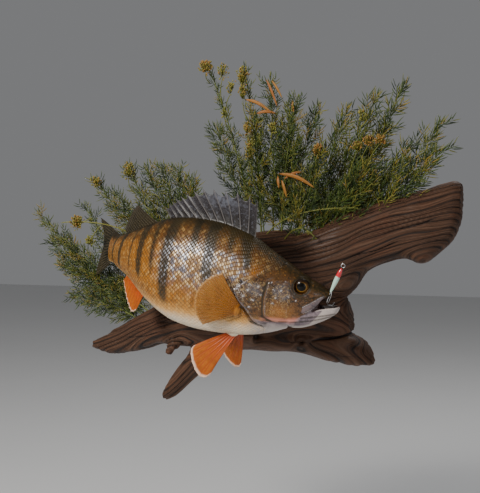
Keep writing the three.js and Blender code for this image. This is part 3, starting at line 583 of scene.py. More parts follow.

# %% [markdown]
# ## Where each colour lies
# The skin and the scales on it must carry the same markings, so both ask one function. It turns a place on
# the fish into soft masks from 0 to 1: dark back, bars, silver flank, warm flank, pale belly and the parts
# of the head, with painted glints and painted shade among them. The masks go to the mesh as attributes, and
# one paint, built from nodes, mixes named colours by them. A bar is a bell across its own slanting centre
# line, with a ragged edge.

# %% The masks of the markings
# How far down the flank the dark back reaches, and where the pale belly starts, as shares of its arc.
BACK_SHARE = curve([0, 0.50], [12, 0.28], [30, 0.19], [60, 0.14], [90, 0.11], [120, 0.09], [160, 0.08],
                   [200, 0.085], [250, 0.13], [292, 0.22])
BELLY_SHARE = curve([0, 0.97], [30, 0.86], [60, 0.78], [100, 0.77], [140, 0.79], [170, 0.83], [200, 0.86],
                    [250, 0.88], [292, 0.92])
# Each bar: its station on the back and at its end, half width in mm, strength, share of the flank.
BARS = [(92, 82, 6.2, 0.9, 0.34), (106, 101, 4.2, 0.75, 0.26), (125, 117, 6.6, 1.0, 0.52),
        (143, 136, 4.4, 0.9, 0.34), (168, 159, 6.8, 1.0, 0.75), (188, 177, 4.0, 0.7, 0.56),
        (205, 194, 5.2, 1.0, 0.66), (220, 212, 2.4, 0.65, 0.66), (241, 237, 4.0, 1.0, 0.80),
        (266, 261, 3.0, 0.9, 0.86)]
# Painted glints: bright spots on the pores and bone tips of the head, as [station, height, radius].
GLINTS = [(35, 1.1, 1.2), (32, -5.4, 1.4), (25, 1, 1.3), (15, 4, 1.1), (51, -6.2, 1.9), (48, 1.7, 1.9),
          (45, 10.6, 1.4), (55, 1.1, 1.6), (77, 2, 2.6), (78, -3.7, 2.4), (81, -10.3, 2.1), (72, -12.6, 1.9),
          (69, 1.7, 1.9), (87, 4, 2.0), (40, -3, 1.3), (58, 8, 1.4), (66, -6, 1.8), (74, -20, 1.6),
          (86, -2, 1.6), (53, -12, 1.3)]
# The pale jaw ends at this line, as stations and heights, and two creases run along it, each painted as a
# dark line of shade.
JAW_TOP = ([-10, 10, 20, 30, 40, 60, 70], [0, -5, -17, -25.5, -29.5, -32, -31])
JAW_LINES = [([-8, 9, 25], [-12.5, -18, -22.8]), ([-6, 13, 27, 45], [-15.5, -23, -27, -30.5])]
TONES = ("tones_a", "tones_b", "tones_c", "tones_d")  # the attributes, each of three masks
print("bars:", len(BARS), "bright pores:", len(GLINTS))

# %% [markdown]
# Most markings run down the flank, so their masks read the share of the arc from back to belly. The lines
# that shaped the head's relief place the rest: a crease gets painted shade, and a raised edge a painted
# highlight.


# %% The share of a flank's arc
def share_at(s, n):
    """The share of the flank's arc, 0 on the back and 1 under the belly, at height n of station s."""
    levels = np.linspace(0, 1, 41)
    _, heights = on_flank(*np.meshgrid(ruler_s[::4], levels, indexing="ij"))
    row = np.clip((s - ruler_s[0]) / (ruler_s[4] - ruler_s[0]), 0, len(heights) - 1.001)
    i = row.astype(int)
    h = heights[i] + (heights[i + 1] - heights[i]) * (row - i)[..., None]
    below = np.clip((h > n[..., None]).sum(-1), 1, 40)
    upper = np.take_along_axis(h, below[..., None] - 1, -1)[..., 0]
    lower = np.take_along_axis(h, below[..., None], -1)[..., 0]
    part = np.clip((upper - n) / np.maximum(upper - lower, 1e-6), 0, 1)
    return levels[below - 1] + part * (levels[1] - levels[0])


print("share of the arc at s = 125, n = 20:", share_at(np.array([125]), np.array([20])).round(2))


# %% Masks at any place of the fish
def tones(s, w, n):
    """The masks at points of the straight fish, as four arrays of three, for mesh attributes."""
    share = share_at(s, n)
    ragged = ripple(0.9 * s + 0.5 * n, 1.7 * n - 0.6 * s + w * 0.2, 0.45 * s - 0.8 * n + 1)
    back = 1 - smooth(share + 0.02 * ragged, BACK_SHARE(s) - 0.06, BACK_SHARE(s) + 0.08)
    bars = 0 * s
    for top, end, half, strength, reach in BARS:
        centre = mix(top, end, share / reach) + 0.9 * ragged
        bar = bell(s - centre, half * (1.15 - 0.35 * share / reach))
        bar *= 1 - smooth(share, reach - 0.1, reach + 0.06)
        bars = np.maximum(bars, strength * bar)
    silver = smooth(share, 0.21, 0.28) * (1 - smooth(share, 0.42, 0.66))
    silver *= smooth(s, 76, 88) * (1 - smooth(s, 150, 184))
    belly = smooth(share + 0.01 * ragged, BELLY_SHARE(s) - 0.12, BELLY_SHARE(s) + 0.08)
    warm = smooth(share, 0.4, 0.62) * smooth(s, 70, 90) + 0.8 * smooth(s, 165, 200)
    gill, cheek = line_gap(GILL_EDGE, n, s), line_gap(CHEEK_EDGE, n, s)
    head = smooth(gill, -1.5, 1) * (1 - smooth(s, 70, 90) * smooth(n, 6, 14))
    jaw = 1 - smooth(n - np.interp(s, *JAW_TOP), -0.8, 0.8)
    jaw = np.maximum(jaw * smooth(-s, -78, -62), (s < 0.5) * 1.0)
    roof = MOUTH_ROOF(s)
    inside_roof = (n < roof + ROOF_HOLLOW(s) + 0.6) & (np.abs(w) < half_width_at(s, roof) - 1.6)
    lip_w, lip_n = jaw_lip(s)
    inside_jaw = (n > lip_n - JAW_TROUGH(s) - 0.7) & (n < lip_n + 1.2) & (np.abs(w) < lip_w - 1.3)
    # Painted shade: the inside of the open mouth, its roof, trough and the folds at its corners, gets a dark
    # colour.
    mouth_shade = (inside_roof & (n > lip_n - 12) | inside_jaw) & (s < 36)
    pink = bell(line_gap(MEMBRANE_EDGE, s, n) + 3.4, 2.3) * smooth(s, 24, 32) * (1 - smooth(s, 56, 66))
    # The shine mask holds painted glints and highlights of the lacquered head, over its partly silvery gill
    # cover and cheek.
    shine = smooth(-np.hypot((s - 72) / 1.3, n + 2), -10, -3)
    shine += 0.8 * smooth(-np.hypot(s - 46, n), -13, -5)
    plate = line_gap(curve([7, 3.4], [21.6, -8.6], [26, -12]), s, n)
    on_plate = smooth(s, 4.5, 6.5) * (s < 24.5) * (n > -17)
    # Painted highlight along the edges of the upper jaw's plate.
    edge = bell(np.abs(plate - 3.2) - 3.0, 0.8) * on_plate
    jaw = np.maximum(jaw, 0.7 * (1 - smooth(np.abs(plate - 3.2), 1.9, 2.7)) * on_plate)
    shine = np.maximum(0.5 * np.clip(shine, 0, 1), 0.75 * edge)
    for spot_s, spot_n, size in GLINTS:
        away = np.hypot(s - spot_s, 1.3 * (n - spot_n)) + 0.5 * np.sin(2.3 * s + 1.1 * n) + 0.4 * ragged
        shine = np.maximum(shine, 0.95 * bell(away, 0.95 * size))
    # Painted highlight: a bright line along the raised gill and cheek edges.
    ridges = 0.6 * np.maximum(bell(gill - 1.6, 0.9) * (n < 6), bell(cheek - 1.2, 0.8) * (n < 4)) * (s > 45)
    shine = np.maximum(shine, ridges)
    # Painted shade: dark lines in the head's creases, along the gill and cheek edges, under the brow, round
    # the eye, beside the upper jaw's plate and along the jaw's grooves.
    low, brow = smooth(-n, -12, -6), line_gap(EYE_BROW_LINE, s, n)
    crease_shade = np.maximum(bell(gill + 1.2, 1.2) * low * (s > 58), 0.8 * bell(cheek + 1.3, 1.1) * low * (s > 45))
    crease_shade = np.maximum(crease_shade, 0.7 * bell(brow + 2.2, 1.0) * smooth(s, 8, 14) * (s < 44))
    from_eye = np.hypot(s - EYE_S, n - EYE_N)
    by_plate = 0.5 * bell(plate + 1.0, 0.8) * (s < 24) * (s > 6)
    crease_shade = np.maximum(crease_shade, 0.9 * bell(from_eye - 8.6, 1.1) + by_plate)
    for line_s, line_n in JAW_LINES:
        groove = 0.6 * bell(n - np.interp(s, line_s, line_n), 1.0)
        crease_shade = np.maximum(crease_shade, groove * (s < line_s[-1]) * (s > -8))
    # The painted shade of the creases goes into the bars mask, so it is painted as dark as a bar.
    bars = np.maximum(bars, crease_shade * (s < 92))
    belly = np.maximum(belly, smooth(-(n - JAW_CHIN(np.clip(s, -10, 40))), -6, -2) * (s < 34))
    belly = np.maximum(belly, bell(n - lip_n, 0.8) * (s < 13))
    upper = 1 - smooth(share + 0.015 * ragged, 0.20, 0.34)
    cheek_gold = bell(np.hypot(s - 46, 1.3 * (n + 21)), 13) * (n < -8)
    return (np.stack([back, bars, silver], -1), np.stack([belly, np.clip(warm, 0, 1), head], -1),
            np.stack([jaw, mouth_shade * 1.0, pink], -1), np.stack([shine, upper, cheek_gold], -1))


# %% [markdown]
# ## Node helpers
# A material is a small graph. These helpers add a node and wire it in one line, so each paint below reads
# as a recipe: mix this colour over that one by this mask.


# %% Helpers for paints
class Paint:
    """A material with one Principled shader. Its methods add nodes and return their output sockets."""

    def __init__(self, name, **settings):
        self.material = bpy.data.materials.new(name)
        self.material.use_nodes = True
        self.tree = self.material.node_tree
        self.shader = self.tree.nodes["Principled BSDF"]
        for key, value in settings.items():
            self.shader.inputs[key.replace("_", " ")].default_value = value

    def node(self, kind, inputs=(), **properties):
        made = self.tree.nodes.new("ShaderNode" + kind)
        for key, value in properties.items():
            setattr(made, key, value)
        for key, value in dict(inputs).items():
            if isinstance(value, bpy.types.NodeSocket):
                self.tree.links.new(value, made.inputs[key])
            else:
                made.inputs[key].default_value = value
        return made

    def place(self, scale=(1, 1, 1)):
        """The point on the piece in metres, stretched by scale."""
        where = self.node("TexCoord").outputs["Object"]
        return where if scale == (1, 1, 1) else self.node("Mapping", {0: where, 3: scale}).outputs[0]

    def mask(self, name):
        """An attribute of one number."""
        return self.node("Attribute", attribute_name=name).outputs["Fac"]

    def masks(self, name):
        """The three parts of an attribute of three."""
        vector = self.node("Attribute", attribute_name=name).outputs["Vector"]
        return self.node("SeparateXYZ", {0: vector}).outputs[:]

    def noise(self, scale, detail=3.0, rough=0.55, where=None):
        """Cloudy noise from 0 to 1 with features 1 / scale metres wide."""
        return self.node("TexNoise", {"Vector": where or self.place(), "Scale": scale, "Detail": detail,
                                      "Roughness": rough}).outputs["Fac"]

    def cells(self, scale):
        """The distance to the nearest of many scattered points."""
        return self.node("TexVoronoi", {"Vector": self.place(), "Scale": scale}).outputs["Distance"]

    def ramp(self, value, low, high, to_low=0.0, to_high=1.0):
        """value from low..high mapped to to_low..to_high and held beyond them."""
        return self.node("MapRange", {0: value, 1: low, 2: high, 3: to_low, 4: to_high}).outputs[0]

    def math(self, operation, a, b=0.0):
        return self.node("Math", {0: a, 1: b}, operation=operation).outputs[0]

    def times(self, *parts):
        """The product of masks: where all of them are 1."""
        made = parts[0]
        for part in parts[1:]:
            made = self.math("MULTIPLY", made, part)
        return made

    def over(self, base, colour, factor):
        """colour laid over base by factor."""
        def full(c):
            return c if isinstance(c, bpy.types.NodeSocket) else (*c, 1.0)
        return self.node("Mix", {0: factor, 6: full(base), 7: full(colour)}, data_type="RGBA").outputs[2]

    def set(self, key, socket):
        self.tree.links.new(socket, self.shader.inputs[key])

    def bump(self, height, distance, strength=1.0):
        made = self.node("Bump", {"Height": height, "Distance": distance, "Strength": strength})
        self.set("Normal", made.outputs[0])


# %% [markdown]
# ## The painted skin under lacquer
# A skin mount is painted over the tanned skin, then sealed under clear gloss lacquer. The shader keeps that
# order: a base of golden paint, silver pearl on the flank, transparent dark washes for back and bars, and a
# glossy coat. Painted glints on the flank and head, and painted shade in the head's creases and inside the
# mouth, are laid in with them. Scales add a pale centre, which is a painted glint, a dark rim and a little
# chance from one to the next.


# %% Paint for skin and scales
def fish_paint(name, scaly):
    """The paint of the skin, or with scaly that of the scales, which also reads their roll and rim."""
    paint = Paint(name, Roughness=0.42, Coat_Weight=0.6, Coat_Roughness=0.18, Specular_IOR_Level=0.22)
    back, bars, silver = paint.masks("tones_a")
    belly, warm, head = paint.masks("tones_b")
    jaw, mouth_shade, pink = paint.masks("tones_c")
    shine, upper, cheek = paint.masks("tones_d")
    cloud, fine, patch = paint.noise(60, 4), paint.noise(420, 3, 0.7), paint.noise(150, 3, 0.6)
    times = paint.times
    # the trunk
    gold = paint.over((0.21, 0.074, 0.005), (0.40, 0.145, 0.009), paint.ramp(cloud, 0.35, 0.65))
    warmer = paint.over((0.26, 0.098, 0.006), (0.47, 0.172, 0.010), paint.ramp(patch, 0.4, 0.62))
    flank = paint.over(gold, warmer, warm)
    flank = paint.over(flank, (0.19, 0.110, 0.050), times(silver, 0.8))
    flank = paint.over(flank, (0.12, 0.125, 0.175), times(silver, paint.ramp(patch, 0.48, 0.6, 0, 0.85)))
    # the head
    skull = paint.over((0.018, 0.010, 0.005), (0.16, 0.068, 0.018), paint.ramp(fine, 0.38, 0.66))
    skull = paint.over(skull, (0.44, 0.17, 0.025), times(cheek, 0.85))
    # Speckles, a silvery grey and bright spots follow the shine mask: partly the head's own silvery speckles,
    # partly painted glints and highlights.
    dots = times(paint.ramp(paint.cells(520), 0.42, 0.22), paint.ramp(patch, 0.42, 0.56))
    skull = paint.over(skull, (0.50, 0.42, 0.33), times(dots, paint.ramp(shine, 0, 0.5, 0.12, 0.8)))
    grey = times(paint.ramp(shine, 0.1, 0.5, 0, 0.75), paint.ramp(patch, 0.36, 0.6, 0.25, 1))
    skull = paint.over(skull, (0.150, 0.140, 0.165), grey)
    bright = times(paint.ramp(shine, 0.5, 0.8), paint.ramp(fine, 0.36, 0.56, 0.15, 0.95))
    skull = paint.over(skull, (0.74, 0.69, 0.66), bright)
    colour = paint.over(flank, skull, head)
    # belly, jaw and the folds under the cheek
    colour = paint.over(colour, (0.62, 0.32, 0.085), paint.ramp(belly, 0.0, 0.5))
    colour = paint.over(colour, (0.74, 0.62, 0.46), paint.ramp(belly, 0.5, 1.0))
    chin = paint.over((0.24, 0.185, 0.195), (0.12, 0.092, 0.110), paint.ramp(patch, 0.42, 0.6))
    chin = paint.over(chin, (0.56, 0.48, 0.43), paint.ramp(belly, 0.3, 1.0, 0, 0.9))
    colour = paint.over(colour, chin, jaw)
    colour = paint.over(colour, (0.60, 0.22, 0.17), times(pink, 0.8))
    dark = paint.over((0.010, 0.008, 0.003), (0.032, 0.022, 0.007), paint.ramp(cloud, 0.3, 0.7))
    wash = paint.over((0.070, 0.026, 0.002), (0.19, 0.070, 0.004), paint.ramp(patch, 0.4, 0.65))
    colour = paint.over(colour, wash, times(upper, paint.ramp(head, 0, 1, 0.92, 0.6)))
    pores = times(upper, head, paint.ramp(paint.cells(330), 0.34, 0.2, 0, 0.7))
    colour = paint.over(colour, (0.30, 0.130, 0.020), pores)
    mottle = times(upper, head, paint.ramp(fine, 0.5, 0.62, 0, 0.75))
    colour = paint.over(colour, (0.012, 0.007, 0.003), mottle)
    if scaly:
        roll, rim = paint.mask("roll"), paint.mask("rim")
        lighter = times(paint.ramp(roll, 0.5, 1, 0, 0.22), paint.ramp(back, 0, 1, 1, 0))
        colour = paint.over(colour, (0.95, 0.62, 0.22), lighter)
        edge = times(paint.ramp(rim, 0.74, 0.98, 0, 0.58), paint.ramp(belly, 0, 0.8, 1, 0.12))
        colour = paint.over(colour, (0.035, 0.018, 0.005), edge)
    colour = paint.over(colour, dark, times(back, 0.94))
    crown = times(back, head, paint.ramp(fine, 0.53, 0.66, 0, 0.6))
    colour = paint.over(colour, (0.20, 0.082, 0.012), crown)
    speck = times(paint.ramp(patch, 0.5, 0.62), paint.ramp(upper, 0.1, 0.9, 0.2, 0.6))
    colour = paint.over(colour, dark, times(speck, paint.ramp(belly, 0, 0.3, 1, 0)))
    # The bars mask also holds the painted shade of the head's creases.
    barred = times(paint.ramp(bars, 0.12, 0.7), paint.ramp(fine, 0.3, 0.55, 0.7, 0.97))
    colour = paint.over(colour, dark, barred)
    # Painted glints: in the silver band each scale gets a pale centre, partly the scales' own pearl and
    # partly painted highlight.
    glint = times(silver, paint.ramp(fine, 0.42, 0.6, 0.15, 0.9))
    if scaly:
        middle = paint.ramp(paint.math("ABSOLUTE", paint.math("SUBTRACT", rim, 0.66)), 0.22, 0.05)
        glint = times(silver, middle, paint.ramp(roll, 0.25, 0.75, 0.08, 1.0))
        cool = paint.ramp(paint.math("MAXIMUM", bars, patch), 0.45, 0.62)
        pearl_and_sheen = paint.over((0.92, 0.66, 0.36), (0.70, 0.74, 0.86), cool)
        colour = paint.over(colour, pearl_and_sheen, times(glint, paint.ramp(bars, 0.2, 0.8, 1, 0.5)))
    # Painted shade: the inside of the mouth is painted nearly black.
    colour = paint.over(colour, (0.045, 0.018, 0.016), mouth_shade)
    paint.set("Base Color", colour)
    paint.set("Metallic", times(paint.math("MAXIMUM", glint, times(shine, 0.7)), 0.4))
    paint.set("Roughness", paint.ramp(fine, 0.3, 0.7, 0.34, 0.54))
    paint.set("Coat Weight", paint.ramp(paint.math("MAXIMUM", back, times(upper, 0.8)), 0, 1, 0.5, 0.08))
    paint.bump(fine, 0.00015, 0.7)
    return paint.material


skin_paint, scale_paint = fish_paint("painted skin", False), fish_paint("painted scales", True)
print("nodes in the scales' paint:", len(scale_paint.node_tree.nodes))

# %% The skin in place
piece("fish_skin", to_wall(*skin_place.T), skin_faces, skin_paint,
      dict(zip(TONES, tones(*skin_place.T))),
      ["head", "lower_jaw", "gill_cover_left", "gill_cover_right", "trunk_front", "trunk_rear", "tail_stalk"])

# %% [markdown]
# ## Scales
# A perch has nearly sixty scales along its lateral line, in staggered rows. Each scale is a closed fan: its
# root is buried under the scales before it, its rear edge is round and stands half a millimetre proud, and
# a short lip turns down to the skin. Every corner of every scale is placed by the flank's ruler, so scales
# bend with the body. All of one flank's scales are worked out at once and joined in one mesh.

# %% The rows of scales
LATERAL_LINE = curve([40, 8], [66, 10], [84, 16], [97, 24], [110, 28], [126, 27.5], [144, 25], [162, 20],
                     [185, 13], [210, 6], [240, -1], [265, -5.5], [292, -6.5])
ROW_PITCH = curve([50, 1.6], [70, 1.8], [100, 2.1], [150, 2.25], [200, 2.0], [250, 1.5], [292, 1.25])
lateral_share = share_at(ruler_s, LATERAL_LINE(ruler_s))
rng = np.random.default_rng(7)
print("rows from back to belly at mid-body:", int(ruler_arc[len(ruler_arc) // 2] / ROW_PITCH(146)))

# %% The outline of one scale
SCALE_RAYS = np.radians(np.linspace(-98, 98, 7))
SCALE_RINGS = np.array([0.45, 0.8, 1.0])
# Corners of one scale in its own measure: x back (1 = the row's spacing), y down (1 = the row pitch).
ROOT_X, TIP_X, SIDE_Y = -0.85, 0.62, 1.2
edge_x, edge_y = TIP_X * np.cos(SCALE_RAYS), SIDE_Y * np.sin(SCALE_RAYS)
ring_x = mix(ROOT_X, edge_x[None], SCALE_RINGS[:, None]).ravel()
ring_y = (edge_y[None] * SCALE_RINGS[:, None]).ravel()
scale_x = np.concatenate([[ROOT_X], ring_x, edge_x * 0.97 - 0.01])
scale_y = np.concatenate([[0], ring_y, edge_y * 0.97])
rays, rings = len(SCALE_RAYS), len(SCALE_RINGS)
lip_start = 1 + rings * rays
k = np.arange(rays - 1)
scale_faces = np.concatenate([
    np.stack([k * 0, 1 + k, 2 + k, 2 + k], -1),
    grid_faces(rings + 1, rays, start=1)[:, ::-1],
    np.stack([k * 0, lip_start + k + 1, lip_start + k, lip_start + k], -1),
    [[0, lip_start, 1 + 2 * rays, 1 + rays], [0, 1 + rays, 1, 1]],
    [[0, 2 * rays, 3 * rays, lip_start + rays - 1], [0, rays, 2 * rays, 2 * rays]]])
rise = (scale_x - ROOT_X) / (TIP_X - ROOT_X)
scale_z = -0.15 + 0.65 * rise + 0.12 * (1 - scale_y**2) * rise
scale_z[lip_start:] = -0.02
scale_rim = np.concatenate([[0], np.repeat(SCALE_RINGS, rays), np.ones(rays)])
print("one scale:", len(scale_x), "corners,", len(scale_faces), "faces")


# %% All scales of a flank
def scale_field(pitch_at, first, last, keep):
    """The scales of one flank, as straight-fish points: (s, half width, height, root s, root share, random).
    Rows run beside the lateral line, a pitch apart; every second row is shifted by half a spacing."""
    spacing = lambda s: 1.93 * pitch_at(s)
    steps = np.arange(first, last, 0.2)
    count = np.concatenate([[0], np.cumsum(0.2 / spacing(steps[:-1]))])
    row, column = np.meshgrid(np.arange(-60, 70), np.arange(0, int(count[-1])), indexing="ij")
    root_s = np.interp(column + 0.5 * (row % 2), count, steps).ravel()
    row = row.ravel()
    arc = np.interp(root_s, ruler_s, ruler_arc)
    share = np.interp(root_s, ruler_s, lateral_share) + row * pitch_at(root_s) / arc
    _, height = on_flank(root_s, np.clip(share, 0, 1))
    kept = (share > 0.004) & (share < 0.996) & keep(root_s, height)
    root_s, row, share = root_s[kept, None], row[kept, None], share[kept, None]
    pitch, length = pitch_at(root_s), spacing(root_s)
    s = np.minimum(root_s + scale_x * length, BODY_LENGTH - 0.3)
    arc = np.interp(s, ruler_s, ruler_arc)
    down = np.interp(s, ruler_s, lateral_share) + (row * pitch_at(s) + scale_y * pitch) / arc
    over = np.where(down < 0, -down, np.where(down > 1, 2 - down, down))
    w, n = on_flank(s, over)
    (w1, n1), (w0, n0) = on_flank(s, over + 0.008), on_flank(s, over - 0.008)
    out = unit(np.stack([n0 - n1, w1 - w0], -1))
    roll = rng.random((3, len(root_s), 1))
    thick = np.minimum(1, pitch / 2.1)
    tilt = (0.10 * (roll[1] - 0.5) * scale_y + 0.16 * (roll[2] - 0.5) * rise) * (scale_rim > 0)
    lift = skin_lift(s, n) + thick * (scale_z + tilt * (np.arange(len(scale_z)) < lip_start))
    w, n = w + out[..., 0] * lift, n + out[..., 1] * lift
    w = np.where((down < 0) | (down > 1), -w, w)
    return s, w, n, root_s, share, roll[0]


def scale_piece(name, side, field):
    """One joined mesh of scales on a flank, with the skin's own masks. Its OFBake map gives each scale a
    patch 0.003 across at its root's place on an unrolled flank: along the fish, and down the arc."""
    s, w, n, root_s, share, roll = field
    count, corners = s.shape
    faces = (scale_faces[None] + (np.arange(count) * corners)[:, None, None]).reshape(-1, 4)
    flat = [v.ravel() for v in (s, side * w, n)]
    if side > 0:
        faces = np.concatenate([faces[:, 1::-1], faces[:, :1:-1]], 1)
    obj = piece(name, to_wall(*flat), faces, scale_paint,
                {**dict(zip(TONES, tones(*flat))), "rim": np.tile(scale_rim, count),
                 "roll": np.repeat(roll.ravel(), corners)})
    half_patch = 0.0015
    u = (0.02 + 0.96 * root_s / BODY_LENGTH) + half_patch * scale_x / -ROOT_X
    v = 0.01 + 0.47 * share + (0.5 if side > 0 else 0.0) + half_patch * scale_y / SIDE_Y
    corner_of = np.zeros(len(obj.data.loops), int)
    obj.data.loops.foreach_get("vertex_index", corner_of)
    layer = obj.data.uv_layers.new(name="OFBake")
    layer.data.foreach_set("uv", np.stack([u.ravel(), v.ravel()], -1)[corner_of].astype(np.float32).ravel())


# %% Scales of the flanks and of the cheeks
def on_body(s, n):
    return s > scales_from(n) + 0.5


def on_cheek(s, n):
    cheek, gill = line_gap(CHEEK_EDGE, n, s), line_gap(GILL_EDGE, n, s)
    from_eye = np.hypot(s - EYE_S, n - EYE_N)
    before = (cheek > 1.5) & (s > 37) & (n > -25) & (n < 7)
    behind = (cheek < -2.6) & (gill > 3) & (n < 6) & (n > -20)
    return (before | behind) & (from_eye > 11)


flank_field = scale_field(ROW_PITCH, 44, BODY_LENGTH, on_body)
cheek_field = scale_field(lambda s: 1.0 + 0 * s, 34, 90, on_cheek)
print("scales on a flank:", len(flank_field[0]), "on a cheek:", len(cheek_field[0]))
for side, label in ((NEAR, "right"), (FAR, "left")):
    scale_piece(f"flank_scales_{label}", side, flank_field)
    scale_piece(f"cheek_scales_{label}", side, cheek_field)

# %% [markdown]
# ## Glass eyes
# A taxidermist sets a glass eye: black pupil, gold ring, brown iris and a dark rim, under a clear dome. Each
# is a flattened ball that sits in its socket. Its paint reads the distance from the pupil's middle, the turn
# round it, and a mask of the lit side made from that turn, which paints light in: the iris is brighter in
# front and below.

# %% The eyes
EYE_RADIUS, EYE_HALF_DEPTH, EYE_BULGE = 7.7, 5.8, 2.1

paint = Paint("glass eye", Roughness=0.3, Specular_IOR_Level=0.1, Coat_Weight=0.7, Coat_Roughness=0.02,
              Coat_IOR=1.28)
from_pupil, lit_side = paint.mask("from_pupil"), paint.mask("lit")
round_it, outwards = paint.times(paint.mask("turn"), 14.0), paint.times(from_pupil, 2.5)
fibres = paint.noise(1, 2, 0.6, paint.node("CombineXYZ", {0: round_it, 1: outwards}).outputs[0])
# Painted light: the brown iris and the gold ring are brighter on the lit side, in front and below.
brown = paint.times(paint.ramp(fibres, 0.35, 0.62, 0.35, 1), paint.ramp(lit_side, 0.35, 0.9, 0.04, 1))
iris = paint.over((0.014, 0.006, 0.003), (0.19, 0.080, 0.010), brown)
gold = paint.times(paint.ramp(lit_side, 0.1, 0.9, 0.08, 0.8), paint.ramp(from_pupil, 0.66, 0.60, 0, 1))
iris = paint.over(iris, (0.36, 0.18, 0.024), gold)
iris = paint.over(iris, (0.012, 0.008, 0.005), paint.ramp(from_pupil, 0.74, 0.88))
paint.set("Base Color", paint.over(iris, (0.001, 0.001, 0.001), paint.ramp(from_pupil, 0.56, 0.54)))

rise = np.linspace(0.01, math.pi - 0.01, 41)[:, None]
turn = np.linspace(0, 2 * math.pi, 64, endpoint=False)[None]
for side, label in ((NEAR, "right"), (FAR, "left")):
    middle = half_width_at(EYE_S, EYE_N) - EYE_HALF_DEPTH + EYE_BULGE
    ball = [EYE_S + EYE_RADIUS * np.sin(rise) * np.cos(turn),
            side * (middle + EYE_HALF_DEPTH * np.cos(rise) + 0 * turn),
            EYE_N + EYE_RADIUS * np.sin(rise) * np.sin(turn)]
    points, faces = tube(np.stack(ball, -1))
    away = np.hypot((points[:, 0] - EYE_S + 0.3) / 1.06, points[:, 2] - EYE_N) / EYE_RADIUS
    away = np.where(side * points[:, 1] > middle, away, 1)
    around = np.arctan2(points[:, 2] - EYE_N, points[:, 0] - EYE_S)
    lit = 0.5 + 0.5 * np.cos(around + 2.4)
    points = to_wall(*points.T)
    piece(f"glass_eye_{label}", points, facing_out(points, faces)[1], paint.material,
          {"from_pupil": away, "turn": np.abs(around), "lit": lit}, [f"eye_{label}"])

# %% [markdown]
# ## Fins
# A fin is a web of skin on rays. The first dorsal has thirteen bare spines that pierce its edge; the other
# fins have soft rays that fork twice on their way out. One function makes them all: it fills the space
# between a root line and a tip line, and thickens a thin web by a ridge along each ray. The web lets some
# light through, as real ones do after drying.


# %% One fin
FIN_ROWS = 30  # points along a ray


def fin(name, rays, root, tip, paint, replaces, sway=None, across=(0, 1, 0), notch=0.05,
        spiny=False, web=0.17, thick=0.5, pleat=0.3, columns=10):
    """A thin closed leaf. u runs from ray to ray and v outwards: point = root(u) + (tip(u) - root(u)) v e,
    where e dips between rays by notch. A ray is a ridge whose width is a bell round its middle line. A
    soft ray's line splits in two at 0.35 and in four at 0.62 of its length."""
    u, v = np.linspace(0, 1, (rays - 1) * columns + 1)[:, None], np.linspace(0, 1, FIN_ROWS)[None]
    off = np.abs(u * (rays - 1) - np.round(u * (rays - 1)))
    dip = 1 - (1 - 2 * off) ** (2.6 if spiny else 6)
    reach = v * (1 - notch * dip - (0.05 * (1 - bell(off, 0.12)) if spiny else 0))
    ends = [np.stack(np.broadcast_arrays(*f(u)), -1) for f in (root, tip)]
    point = mix(ends[0], ends[1], reach[..., None])
    point = point + (sway(u, reach) if sway else 0 * reach)[..., None] * unit(np.array(across, float))
    spacing = np.linalg.norm(np.gradient(point, axis=0), axis=-1) * columns
    if spiny:
        gap = off + 0 * reach
    else:
        gap = np.abs(np.abs(off - 0.24 * smooth(reach, 0.35, 1)) - 0.12 * smooth(reach, 0.62, 1.1))
    wide = mix(thick, 0.28, reach) * (1.35 if spiny else 1) / np.maximum(spacing, 0.5)
    ray = bell(gap, np.clip(wide, 0.04, 0.3))
    length = np.linalg.norm(ends[1] - ends[0], axis=-1)
    half = web + (mix(thick, 0.22, reach) - web) * ray + 0.8 * bell(reach * length, 1.6)
    half = half * (1 - 0.55 * smooth(v, 0.97, 1))
    out = unit(np.array(across, float))
    fold = pleat * (1 - ray) * (1 - (1 - 2 * off) ** 2) * smooth(reach, 0.05, 0.3)
    point = point + fold[..., None] * out
    near, far = point - half[..., None] * out, point + half[..., None] * out
    count, (cols, down) = near[..., 0].size, near.shape[:2]
    border = np.concatenate([np.arange(down), down * np.arange(1, cols) + down - 1,
                             (cols - 1) * down + np.arange(down - 2, -1, -1),
                             down * np.arange(cols - 2, 0, -1)])
    after = np.roll(border, -1)
    faces = np.concatenate([grid_faces(cols, down), grid_faces(cols, down, start=count)[:, ::-1],
                            np.stack([after, border, border + count, after + count], -1)])
    points = to_wall(*np.concatenate([near.reshape(-1, 3), far.reshape(-1, 3)]).T)
    fin_map = np.stack([u + 0 * reach, reach + 0 * u, ray], -1).reshape(-1, 3)
    points, faces = facing_out(points, faces)
    piece(name, points, faces, paint, {"fin": np.concatenate([fin_map, fin_map]),
                                             "rim": np.tile((v + 0 * u).ravel(), 2)}, replaces)


